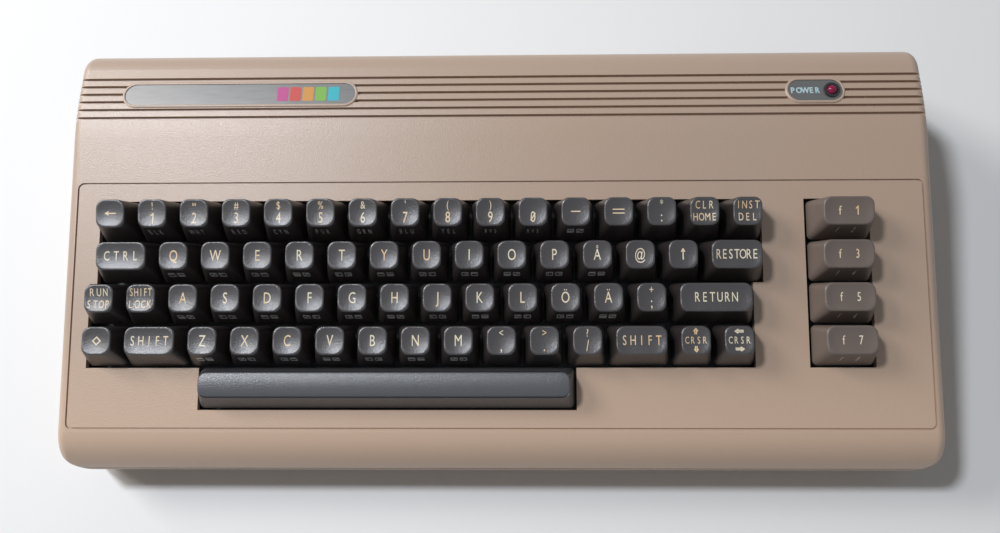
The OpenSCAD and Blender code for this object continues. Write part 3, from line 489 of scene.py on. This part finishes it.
# %% The table of keys
FUNCTION_U = 17.84
KEYS = {
    "keys_arrow_1_2_3": (1, [(0.5, 1, "left"), (1.5, 1, "1'!"), (2.5, 1, "2'\""), (3.5, 1, "3'#")]),
    "keys_4_5_6": (1, [(4.5, 1, "4'$"), (5.5, 1, "5'%"), (6.5, 1, "6'&")]),
    "keys_7_8_9": (1, [(7.5, 1, "7''"), (8.5, 1, "8'("), (9.5, 1, "9')")]),
    "keys_0_minus_equals_colon": (1, [(10.5, 1, "0'"), (11.5, 1, "minus"), (12.5, 1, "equals"),
                                      (13.5, 1, ":'*")]),
    "key_clear_home": (1, [(14.5, 1, "CLR/HOME")]),
    "key_insert_delete": (1, [(15.5, 1, "INST/DEL")]),
    "key_control": (2, [(0.75, 1.5, "CTRL")]),
    "keys_q_w_e": (2, [(2, 1, "Q"), (3, 1, "W"), (4, 1, "E")]),
    "keys_r_t_y": (2, [(5, 1, "R"), (6, 1, "T"), (7, 1, "Y")]),
    "keys_u_i_o": (2, [(8, 1, "U"), (9, 1, "I"), (10, 1, "O")]),
    "keys_p_ring_at_up": (2, [(11, 1, "P"), (12, 1, "Å"), (13, 1, "@"), (14, 1, "up")]),
    "key_restore": (2, [(15.25, 1.5, "RESTORE")]),
    "key_run_stop": (3, [(0.25, 1, "RUN/STOP")]),
    "key_shift_lock": (3, [(1.25, 1, "SHIFT/LOCK")]),
    "keys_a_s_d": (3, [(2.25, 1, "A"), (3.25, 1, "S"), (4.25, 1, "D")]),
    "keys_f_g_h": (3, [(5.25, 1, "F"), (6.25, 1, "G"), (7.25, 1, "H")]),
    "keys_j_k_l": (3, [(8.25, 1, "J"), (9.25, 1, "K"), (10.25, 1, "L")]),
    "keys_umlauts_plus": (3, [(11.25, 1, "Ö"), (12.25, 1, "Ä"), (13.25, 1, ";'+")]),
    "key_return": (3, [(14.75, 2, "RETURN")]),
    "key_system": (4, [(0.25, 1, "diamond")]),
    "key_shift_left": (4, [(1.5, 1.5, "SHIFT")]),
    "keys_z_x_c": (4, [(2.75, 1, "Z"), (3.75, 1, "X"), (4.75, 1, "C")]),
    "keys_v_b_n": (4, [(5.75, 1, "V"), (6.75, 1, "B"), (7.75, 1, "N")]),
    "keys_m_comma_period_slash": (4, [(8.75, 1, "M"), (9.75, 1, ",'<"), (10.75, 1, ".'>"),
                                      (11.75, 1, "/'?")]),
    "key_shift_right": (4, [(13, 1.5, "SHIFT")]),
    "key_cursor_up_down": (4, [(14.25, 1, "up/CRSR")]),
    "key_cursor_left_right": (4, [(15.25, 1, "left/CRSR")]),
    "key_f1": (1, [(FUNCTION_U, 1.5, "f1")]), "key_f3": (2, [(FUNCTION_U, 1.5, "f3")]),
    "key_f5": (3, [(FUNCTION_U, 1.5, "f5")]), "key_f7": (4, [(FUNCTION_U, 1.5, "f7")]),
}
print(sum(len(keys) for row, keys in KEYS.values()), "keys on", len(KEYS), "nodes")

# %% [markdown]
# Keys of one node go down together, so they become one object. It could be joined from copies of
# a single cap object; gathering the bmeshes of the caps, each moved by its key's matrix, gives
# the same and leaves nothing to clean up.

# %% Make the caps
def paste(target, source, place):
    """Adds one bmesh to another, moved by a matrix."""
    mesh = bpy.data.meshes.new("paste")
    source.to_mesh(mesh)
    mesh.transform(place)
    target.from_mesh(mesh)
    bpy.data.meshes.remove(mesh)


for node, (row, keys) in KEYS.items():
    caps = bmesh.new()
    for u, w, legend in keys:
        for part in (keycap(w, row), plunger(row)):
            paste(caps, part, key_place(u, row))
            part.free()
    is_function = keys[0][0] == FUNCTION_U
    cap = piece_from(caps, node.replace("key", "cap", 1),
                     function_plastic if is_function else key_plastic)
    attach(cap, node)
    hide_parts(node)
print(len(KEYS), "cap pieces")

# %% [markdown]
# ## Space bar
# The space bar is nine units wide and hit by the thumb, so its top is rounded and not dished. The
# same function makes it, with a barrel for its surface and a narrower top.

# %% Space bar
BAR_UNITS, BAR_TOP_D, BAR_LEAN = 9, 10.9, 1.9
BAR_U, BAR_ROW = 7, 5

bar = bmesh.new()
for part in (keycap(BAR_UNITS, BAR_ROW, BAR_TOP_D, BAR_LEAN, surface=bar_height),
             plunger(BAR_ROW)):
    paste(bar, part, key_place(BAR_U, BAR_ROW))
    part.free()
space_bar = piece_from(bar, "space_bar_cap", bar_plastic)
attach(space_bar, "space_bar")
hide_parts("space_bar")
print("the space bar is", round(space_bar.dimensions.x / MM), "mm long")

# %% [markdown]
# ## Inks
# The signs on the keys are printed ink, a few hundredths of a millimetre thick. Ink of that age
# has yellowed from key to key, and fingers have worn it thin in tiny spots. A painted texture
# could hold that, but two noises do it for all the signs at once.

# %% Inks
def printed_ink(name, main, other, patch_mm):
    """Screen-printed ink, of one tone in some patches and of another in the rest."""
    material, tree, shader, place = start_material(name)
    patches = add(tree, "ShaderNodeTexNoise", {"Vector": place, "Scale": 1 / (patch_mm * MM),
                                               "Detail": 1.0})
    share = add(tree, "ShaderNodeMapRange", {"Value": patches.outputs["Fac"], "From Min": 0.42,
                                             "From Max": 0.62})
    tone = add(tree, "ShaderNodeMix", {"Factor": share.outputs["Result"], COLOUR_A: linear(main),
                                       COLOUR_B: linear(other)}, data_type="RGBA")
    # The worn spots are about 0.4 mm wide: some of the ink gleams and some is dull
    wear = add(tree, "ShaderNodeTexNoise", {"Vector": place, "Scale": 1 / (0.4 * MM)})
    rough = add(tree, "ShaderNodeMapRange", {"Value": wear.outputs["Fac"], "To Min": 0.35,
                                             "To Max": 0.6})
    tree.links.new(tone.outputs[COLOUR_OUT], shader.inputs["Base Color"])
    tree.links.new(rough.outputs["Result"], shader.inputs["Roughness"])
    return material


# Patches a little wider than a key, so that neighbouring legends differ
cream_ink = printed_ink("printed_cream_ink", "#EDE3C8", "#E9C79C", 24)
# The fronts are out of the light and hardly touched, and their ink has stayed a cool grey
grey_ink = printed_ink("printed_grey_ink", "#E2E4E4", "#CDD0D2", 24)
print("inks:", cream_ink.name, grey_ink.name)

# %% [markdown]
# ## Signs drawn with strokes
# The legends are in a narrow drawing-office style with lines of even width. Arrows, bars, the
# diamond and the small marks on the fronts are nothing but such lines, so they are given by the
# ends of their strokes, in millimetres, and each stroke is a thin flat bar. The marks on the
# fronts are plain boxes with a simple fill. Curves with a bevel could draw them too, but bars
# with a few cuts along them bend to the dish with hardly any faces.

# %% The strokes
STROKE = 0.5
STROKES = {
    "left": [(-2.2, 0, 2.2, 0), (-2.2, 0, -1.0, 0.7), (-2.2, 0, -1.0, -0.7)],
    "up": [(0, -2.3, 0, 2.3), (0, 2.3, -0.7, 1.2), (0, 2.3, 0.7, 1.2)],
    "minus": [(-1.9, 0, 1.9, 0)],
    "equals": [(-2.4, 0.85, 2.4, 0.85), (-2.4, -0.85, 2.4, -0.85)],
    "diamond": [(0, 1.7, 1.7, 0), (1.7, 0, 0, -1.7), (0, -1.7, -1.7, 0), (-1.7, 0, 0, 1.7)],
    "small left": [(-1.8, 0, -0.6, 0.8), (-1.8, 0, -0.6, -0.8), (-1.1, 0.35, 1.7, 0.35),
                   (-1.1, -0.35, 1.7, -0.35)],
    "small up": [(0, 1.2, -0.8, 0.2), (0, 1.2, 0.8, 0.2), (0.35, 0.6, 0.35, -1.1),
                 (-0.35, 0.6, -0.35, -1.1)],
    "slash": [(-0.95, -1.5, 0.95, 1.5)],
    "1": [(0.3, -2.2, 0.3, 2.2), (0.3, 2.1, -0.7, 1.2)],
    "short 1": [(0.2, -1.75, 0.2, 1.75), (0.2, 1.7, -0.6, 0.9)],
    '"': [(-0.5, 0.9, -0.5, 0.1), (0.5, 0.9, 0.5, 0.1)],
    "box": [(-1.4, 0.8, 1.4, 0.8), (-1.4, -0.8, 1.4, -0.8), (-1.4, 0.8, -1.4, -0.8),
            (1.4, 0.8, 1.4, -0.8)],
    "bar": [(-1.4, 0.45, 1.4, 0.45)],
    "post": [(-0.6, 0.8, -0.6, -0.8)],
    "block": [(-1.2, y, 1.2, y) for y in (-0.6, -0.35, -0.1)],
    "corner": [(0, 0, 1.4, 0), (0, 0, 0, -0.8)],
    "slant": [(-1.3, -0.7, 1.3, 0.7)],
}
# The other arrows of the cursor keys are these turned half round
for sign, model in (("small right", "small left"), ("small down", "small up")):
    STROKES[sign] = [tuple(-c for c in line) for line in STROKES[model]]
FILLS = ("bar", "post", "block", "corner", "slant")


def strokes(lines, width=STROKE):
    """A bmesh of straight strokes, each a flat bar with a few cuts along it."""
    bm = bmesh.new()
    for x0, y0, x1, y1 in lines:
        # A bar runs on by half its width, near enough, at each end, so that corners close
        long, turn = math.hypot(x1 - x0, y1 - y0) + width * 0.9, math.atan2(y1 - y0, x1 - x0)
        spot = (Matrix.Translation(((x0 + x1) / 2, (y0 + y1) / 2, 0))
                @ Matrix.Rotation(turn, 4, "Z"))
        made = bmesh.ops.create_cube(bm, size=1,
                                     matrix=spot @ Matrix.Diagonal((long, width, 0.02, 1)))
        along = [e for e in {e for v in made["verts"] for e in v.link_edges}
                 if e.calc_length() > width * 1.05]
        bmesh.ops.subdivide_edges(bm, edges=along, cuts=3, use_grid_fill=True)
    return bm


print(len(STROKES), "signs are drawn with strokes")

# %% [markdown]
# ## Signs from text
# Letters and digits come from Text objects. Each sign is made a mesh once and kept, squeezed to
# about two thirds of its width, and later laid on the dish vertex by vertex. A Shrinkwrap
# modifier would do that as well, but here the dish's height is known at every point.

# %% Letters as meshes
NARROW = 0.68
glyphs = {}


def text_mesh(sign, bolder=0.0):
    """A sign as a flat closed mesh that stands on the baseline."""
    text = bpy.data.curves.new("sign", "FONT")
    text.body = sign
    text.offset = bolder
    text.extrude = 0.01
    text.resolution_u = 3
    holder = bpy.data.objects.new("sign", text)
    mesh = bpy.data.meshes.new_from_object(holder)
    bpy.data.objects.remove(holder)
    return mesh


CAP = max(v.co.y for v in text_mesh("H").vertices)


def glyph(sign, high, narrow=NARROW, bolder=0.0):
    """A bmesh of one sign about its own middle, with capitals that many millimetres high."""
    if (sign, bolder) not in glyphs:
        glyphs[sign, bolder] = text_mesh(sign, bolder)
    bm = bmesh.new()
    bm.from_mesh(glyphs[sign, bolder])
    bmesh.ops.remove_doubles(bm, verts=bm.verts, dist=1e-5)
    middle = (min(v.co.x for v in bm.verts) + max(v.co.x for v in bm.verts)) / 2
    bmesh.ops.translate(bm, vec=(-middle, -CAP / 2, 0), verts=bm.verts)
    bmesh.ops.scale(bm, vec=(narrow * high / CAP, high / CAP, 1), verts=bm.verts)
    return bm


print("a capital in the built-in font is", round(CAP, 3), "high")

# %% [markdown]
# ## The layout of a legend
# A legend is a short code in the table of keys. Two functions turn it into a list of signs, one
# for the top and one for the front, by the few patterns that the keyboard uses. Every sign has
# its middle, its height and its narrowing. Strokes have their own size, so theirs are 1.

# %% Lay the legends out
# Height of the capitals, in millimetres, by what a legend holds
HIGH = {"letter": 4.9, "digit": 4.8, "shifted": 3.3, "word": 4.2, "two lines": 3.4,
        "cursor": 3.0, "function": 3.9}
# Distance from letter to letter, by the word's length, on a single key and on a wide one
PITCH = {3: 3.0, 4: 2.75, 5: 2.1}
WIDE_PITCH = {4: 4.3, 5: 3.75, 6: 3.3, 7: 2.68}
OPPOSITE = {"up": "small down", "left": "small right"}
FRONT_WORDS = dict(zip("1234567890", ("BLK", "WHT", "RED", "CYN", "PUR", "GRN", "BLU", "YEL",
                                      "RVS", "RVS")))


def word(text, y, pitch, high, narrow):
    """The signs of a word, about the middle of its line."""
    return [(sign, (i - (len(text) - 1) / 2) * pitch, y, high, narrow)
            for i, sign in enumerate(text)]


def layout(legend):
    """The signs on a key's top."""
    if legend in STROKES:
        return [(legend, 0, 0, 1, 1)]
    if len(legend) in (2, 3) and legend[1] == "'":
        signs = [(legend[0], 0, -2.3, HIGH["digit"], NARROW)]
        if legend[0] == "0":
            signs.append(("slash", 0, -2.3, 1, 1))
        if len(legend) == 3:
            signs.append((legend[2], 0, 3.3, HIGH["shifted"], 0.75))
        return signs
    if "/" in legend:
        first, second = legend.split("/")
        if first in OPPOSITE:
            arrows = [("small " + first, 0, 3.9, 1, 1), (OPPOSITE[first], 0, -3.9, 1, 1)]
            return arrows + word(second, 0, 2.6, HIGH["cursor"], 0.66)
        return [sign for text, y in ((first, 2.7), (second, -2.7))
                for sign in word(text, y, PITCH[len(text)], HIGH["two lines"],
                                 0.6 if len(text) > 4 else NARROW)]
    if legend[0] == "f":
        digit = "short 1" if legend == "f1" else legend[1]
        return [("f", -3.7, 0, HIGH["function"], 0.75), (digit, 3.9, 0, HIGH["function"], NARROW)]
    if len(legend) > 1:
        return word(legend, 0, WIDE_PITCH[len(legend)], HIGH["word"], 0.66)
    return [(legend, 0, 0, HIGH["letter"], NARROW)]


def front_marks(u, row, legend):
    """The signs on a key's front: a colour's short name, an even function key, or two boxes."""
    if legend[0] in FRONT_WORDS:
        # Nine and nought have theirs a little smaller
        pitch, high = (2.1, 1.9) if legend[0] in "90" else (2.5, 2.3)
        return word(FRONT_WORDS[legend[0]], 0.2, pitch, high, 0.62)
    if u == FUNCTION_U:
        return word("f" + str(int(legend[1]) + 1), 0, 7.2, 2.4, NARROW)
    if legend == "minus" or len(legend) == 1 and legend.isalpha():
        return [(sign, x, 0, 1, 1) for x, turn in ((-2.1, 0), (2.1, 2))
                for sign in ("box", FILLS[int(u * 4 + row + turn) % len(FILLS)])]
    return []


print("CLR over HOME:", layout("CLR/HOME")[:3], "...")

# %% [markdown]
# ## Printing
# A print has to follow the surface under it, or it would float at the rim and sink in the middle
# of the dish. So every vertex of a sign is set to the dish's height at its own spot, a little
# above it for the ink's face and a little below for its back. The fronts are flat and only need a
# frame that lies on their slope.

# %% Print the legends
INK_UP, INK_DOWN = 0.04, -0.05
# The fronts are seen at a slant, so their marks are printed tall, with finer strokes
FRONT_DROP, FRONT_TALL, FRONT_STROKE = 5.4, 1.8, 0.34


def front_place(row):
    """Frame on the front of a cap: its origin below the rim, X to the right and Y up the face."""
    high = top_place(row) @ Vector((0, -TOP_D / 2, 0))
    up = (high - Vector((0, -KEY_D / 2, 0))).normalized()
    turn = Matrix(((1, 0, 0), (0, up.y, -up.z), (0, up.z, up.y))).to_4x4()
    return Matrix.Translation(high - up * FRONT_DROP) @ turn


def print_signs(target, signs, face, key, reach=None, stroke=STROKE, tall=1):
    """Adds signs to a print, on the dish of a face with that reach or flat where it has none."""
    for sign, x, y, high, narrow in signs:
        part = strokes(STROKES[sign], stroke) if sign in STROKES else glyph(sign, high, narrow)
        bmesh.ops.scale(part, vec=(1, tall, 1), verts=part.verts)
        for v in part.verts:
            spot = Vector((v.co.x + x, v.co.y + y))
            ground = dish_height(spot.x, spot.y, reach) if reach is not None else 0
            v.co = face @ Vector((spot.x, spot.y, ground + (INK_UP if v.co.z > 0 else INK_DOWN)))
        paste(target, part, key)
        part.free()


for node, (row, keys) in KEYS.items():
    tops, fronts = bmesh.new(), bmesh.new()
    for u, w, legend in keys:
        key = key_place(u, row)
        print_signs(tops, layout(legend), top_place(row), key, reach=(w - 1) * UNIT / 2)
        print_signs(fronts, front_marks(u, row, legend), front_place(row), key,
                    stroke=FRONT_STROKE, tall=FRONT_TALL)
    for bm, ink, kind in ((tops, cream_ink, "legend"), (fronts, grey_ink, "front_marks")):
        if bm.verts:
            print_piece = piece_from(bm, f"{kind}_{node}", ink)
            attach(print_piece, node)
        else:
            bm.free()
print("legends on", len(KEYS), "cap pieces, from", len(glyphs), "different letters")

# %% [markdown]
# ## Finishes for the parts of the drawing
# The case halves, boards and sockets keep the drawing's own shapes, which are exact. They only
# need their finishes. One function covers them all: a noise at a real size in millimetres mixes
# two tones, sets how far the gloss varies and raises a slight bump. Stretched along one way, the
# same noise gives brushing or a weave.

# %% A plain finish
def finish_of(name, first, second, scale_mm, stretch=(1, 1, 1), metallic=0.0, rough=(0.4, 0.5),
              bump_mm=0.0, ior=None):
    """A finish with a pattern that many millimetres wide. Without a second tone it is even."""
    material, tree, shader, place = start_material(name)
    laid = add(tree, "ShaderNodeMapping", {"Vector": place,
                                           "Scale": [s / (scale_mm * MM) for s in stretch]})
    noise = add(tree, "ShaderNodeTexNoise", {"Vector": laid.outputs["Vector"], "Scale": 1.0,
                                             "Detail": 3.0})
    if second:
        tone = add(tree, "ShaderNodeMix", {"Factor": noise.outputs["Fac"],
                                           COLOUR_A: linear(first), COLOUR_B: linear(second)},
                   data_type="RGBA")
        tree.links.new(tone.outputs[COLOUR_OUT], shader.inputs["Base Color"])
    else:
        shader.inputs["Base Color"].default_value = linear(first)
    gloss = add(tree, "ShaderNodeMapRange", {
        "Value": noise.outputs["Fac"], "From Min": NOISE_LOW, "From Max": NOISE_HIGH,
        "To Min": rough[0], "To Max": rough[1]})
    tree.links.new(gloss.outputs["Result"], shader.inputs["Roughness"])
    shader.inputs["Metallic"].default_value = metallic
    if ior:
        shader.inputs["IOR"].default_value = ior
    if bump_mm:
        bump = add(tree, "ShaderNodeBump", {"Height": noise.outputs["Fac"], "Strength": 1.0,
                                            "Distance": bump_mm * MM})
        tree.links.new(bump.outputs["Normal"], shader.inputs["Normal"])
    return material


# Rubber is matt and a little dusty
foot_rubber = finish_of("black_rubber", "#1B1B1B", "#242424", 1.2, rough=(0.75, 0.85),
                        bump_mm=0.03)
print(foot_rubber.name, "is made with", len(foot_rubber.node_tree.nodes), "nodes")

# %% [markdown]
# Metals differ mostly in colour and in how their surface was worked. The number after the two
# tones is the width of the pattern in millimetres. Clouds and mottling have their real width;
# scratches, crystals, threads and grit are too fine to show from 40 cm, and are drawn at about
# 1 mm, as coarse as they need to be.

# %% Metals
# Brushed along the plate and lacquered: fine scratches spread every highlight across them
badge_metal = finish_of("brushed_aluminium_badge", "#716F6C", "#7A7875", 0.8, stretch=(0.08, 1, 1),
                        metallic=0.7, rough=(0.35, 0.4), bump_mm=0.002)
# Zinc plate has small crystals that make it sparkle a little
screw_steel = finish_of("zinc_plated_steel", "#B9BABC", "#A4A6A8", 0.8, metallic=1.0,
                        rough=(0.3, 0.42))
# Dipped tin is cloudy, in patches of about 6 mm
tinned_steel = finish_of("tinned_sheet_steel", "#BDBDBA", "#A9AAA9", 6, metallic=1.0,
                         rough=(0.3, 0.45), bump_mm=0.01)
# Nickel over turned brass is warm and nearly a mirror
jack_plating = finish_of("nickel_plated_brass", "#C2C0BA", "#B4B1AA", 2, metallic=1.0,
                         rough=(0.16, 0.24))
# Thin gold on etched copper: yellow, smooth, dull at the edges
contact_gold = finish_of("gold_plated_copper", "#D9B560", "#C79F48", 1.5, metallic=1.0,
                         rough=(0.22, 0.32))
print("metals:", badge_metal.name, screw_steel.name, tinned_steel.name, jack_plating.name,
      contact_gold.name)

# %% [markdown]
# The rest are plastics and laminates: no metal, so their gloss is white and only their body has
# a colour.

# %% Plastics and laminates
# Cast acrylic with a dark red dye: deep colour under a sharp small highlight
lamp_lens = finish_of("tinted_acrylic_lamp", "#7A0434", "#8A083E", 2, rough=(0.1, 0.16), ior=1.4)
# Pressed from a polished tool: a glossy ring round the lamp
bezel_black = finish_of("gloss_black_polypropylene", "#1C1A1B", "#262324", 1, rough=(0.25, 0.35),
                        bump_mm=0.01)
# Green lacquer over woven glass, whose threads give a faint pattern one way, here 2.5 mm wide
board_laminate = finish_of("green_glass_laminate", "#1F5A30", "#2B6E3C", 2.5, stretch=(1, 0.2, 1),
                           rough=(0.3, 0.45), bump_mm=0.02)
# Resin-bonded paper, mottled and dull
keyboard_laminate = finish_of("brown_paper_laminate", "#523C20", "#624A2A", 3, rough=(0.45, 0.6),
                              bump_mm=0.02)
# Epoxy pressed round the chips has a fine sandy face
chip_plastic = finish_of("black_epoxy_moulding", "#161618", "#202022", 1, rough=(0.5, 0.65),
                         bump_mm=0.02)
# A shrunk-on sleeve is taut and shiny
capacitor_sleeve = finish_of("blue_shrink_sleeve", "#22355E", "#2C4270", 3, rough=(0.2, 0.3))
# Glass fibres in the polyester leave streaks along the moulding
connector_plastic = finish_of("glass_filled_polyester", "#17171A", "#202023", 1.2,
                              stretch=(0.3, 1, 1), rough=(0.4, 0.55), bump_mm=0.015)
# Soft PVC has a slightly waxy look
lead_sheath = finish_of("soft_pvc_sheath", "#6C6862", "#7A756E", 2, rough=(0.35, 0.5))
print("others:", lamp_lens.name, bezel_black.name, board_laminate.name, keyboard_laminate.name,
      chip_plastic.name, capacitor_sleeve.name, connector_plastic.name, lead_sheath.name)

# %% [markdown]
# The nodes of the drawing come with a plain material in each slot. The finish takes its place, so
# that the meshes themselves aren't touched.

# %% Give the nodes their finishes
FINISHES = {
    "top_case": case_plastic, "bottom_case": base_plastic, "badge_plate": badge_metal,
    "lamp_badge": badge_metal, "power_lamp": lamp_lens, "lamp_bezel": bezel_black,
    "lamp_lead": lead_sheath, "rubber_feet": foot_rubber, "case_screws": screw_steel,
    "inner_screws": screw_steel, "keyboard_chassis": black_plastic,
    "keyboard_board": keyboard_laminate, "keyboard_lead": lead_sheath,
    "main_board": board_laminate, "edge_contacts": contact_gold, "chips": chip_plastic,
    "capacitors": capacitor_sleeve, "rf_modulator": tinned_steel, "aerial_jack": jack_plating,
    "channel_switch": black_plastic, "cartridge_connector": connector_plastic,
    "av_socket": connector_plastic, "serial_socket": connector_plastic,
    "power_socket": connector_plastic, "socket_inserts": black_plastic,
    "control_ports": connector_plastic, "switch_body": connector_plastic,
    "power_rocker": black_plastic,
}
for node, material in FINISHES.items():
    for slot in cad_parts[node].material_slots:
        slot.material = material
print(len(FINISHES), "nodes of the drawing have their finishes")

# %% [markdown]
# ## Badge rims
# Two thin brushed plates sit in shallow pockets on the crest, and each stands in a slightly
# raised rounded rim that ends the grooves beside it. A curve with a round bevel would make a
# wire; insets of the badge's own outline, each lifted or lowered a little, give the real flat
# section, and Solidify closes it underneath.

# %% Badge rims
# Middle of the rearmost groove, and how far in front of it the badges have theirs
GROOVE_Y, BADGE_OFFSET = 71.4, 8.3
BADGE_Y = GROOVE_Y - BADGE_OFFSET
BADGE_W = 10.8
# Middle and length of each badge
BADGES = {"badge_rim_long": (-122.5, 110.5), "badge_rim_lamp": (150.1, 25.4)}
# How far a rim reaches out round its badge, and its steps inwards with the lift of each
RIM_OUT = 1.3
RIM_STEPS = ((0.25, 0.22), (0.3, 0.12), (0.5, 0), (0.2, -0.14))
RIM_THICK = 0.3

for name, (x, long) in BADGES.items():
    wide = BADGE_W + 2 * RIM_OUT
    bm = rounded_plate(long + 2 * RIM_OUT, wide, wide / 2 - 0.01, segments=14)
    # The two arcs of an end stop just short of each other, and an inset would pull that gap to
    # a spike
    bmesh.ops.remove_doubles(bm, verts=bm.verts, dist=0.1)
    inner = list(bm.faces)
    for inset, lift in RIM_STEPS:
        bmesh.ops.inset_region(bm, faces=inner, thickness=inset, use_even_offset=True,
                               use_boundary=True)
        bmesh.ops.translate(bm, vec=(0, 0, lift), verts=list({v for f in inner for v in f.verts}))
    bmesh.ops.delete(bm, geom=inner, context="FACES")
    print(name, "has a ring of", len(bm.faces), "faces before it gets its thickness")
    bmesh.ops.translate(bm, vec=(x, BADGE_Y, CREST - 0.05), verts=bm.verts)
    bmesh.ops.solidify(bm, geom=list(bm.faces), thickness=RIM_THICK)
    rim = piece_from(bm, name, case_plastic, smooth_angle=60)
    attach(rim, "root")

# %% [markdown]
# ## Colour bars
# The long badge carries a small block of colour, made here as five upright bars in a row. They
# are screen-printed enamel, thick enough to feel, so each is a thin cube with rounded corners
# that stands a few hundredths of a millimetre proud of its plate.

# %% Colour bars
BARS = {"magenta": "#BC4A88", "red": "#C84C44", "orange": "#CE9040", "green": "#7AB048",
        "cyan": "#36B0BC"}
BARS_X, BARS_PITCH = -102, 6.1
BAR_SIZE = (5.2, 7.4, 0.08)

for i, (name, colour) in enumerate(BARS.items()):
    # Enamel is one even colour with a slight orange-peel gloss, here 1 mm wide
    enamel = finish_of("screen_printed_" + name, colour, None, 1, rough=(0.3, 0.45),
                       bump_mm=0.005)
    bm = bmesh.new()
    spot = Matrix.Translation((BARS_X + i * BARS_PITCH, BADGE_Y, CREST - 0.09))
    bmesh.ops.create_cube(bm, size=1, matrix=spot @ Matrix.Diagonal((*BAR_SIZE, 1)))
    upright = [e for e in bm.edges if abs(e.verts[0].co.z - e.verts[1].co.z) > 0.01]
    bmesh.ops.bevel(bm, geom=upright, offset=0.6, offset_type="OFFSET", segments=4, profile=0.5,
                    affect="EDGES", clamp_overlap=True, material=-1)
    bar_piece = piece_from(bm, "badge_bar_" + name, enamel)
    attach(bar_piece, "root")
print(len(BARS), "bars of", BAR_SIZE[0], "by", BAR_SIZE[1], "mm")

# %% [markdown]
# ## The lamp's word
# The short badge says what its lamp is for, in wide pale letters. They are made like the keys'
# letters, a little bolder, and laid flat on the plate.

# %% The lamp's word
WORD_X, WORD_Z = 145.4, CREST - 0.08
WORD_UP, WORD_DOWN = 0.06, -0.04

# The same ink in a cool tint, in patches as wide as two letters
pale_ink = printed_ink("printed_pale_blue_ink", "#B4CDD2", "#A9C6CE", 6)
bm = bmesh.new()
for sign, x, y, high, narrow in word("POWER", 0, 2.9, 2.8, 0.85):
    part = glyph(sign, high, narrow, bolder=0.035)
    for v in part.verts:
        v.co = Vector((v.co.x + x + WORD_X, v.co.y + BADGE_Y,
                       WORD_Z + (WORD_UP if v.co.z > 0 else WORD_DOWN)))
    paste(bm, part, Matrix.Identity(4))
    part.free()
power_word = piece_from(bm, "lamp_word", pale_ink)
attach(power_word, "root")
print("the lamp's word is", round(power_word.dimensions.x / MM, 1), "mm long")
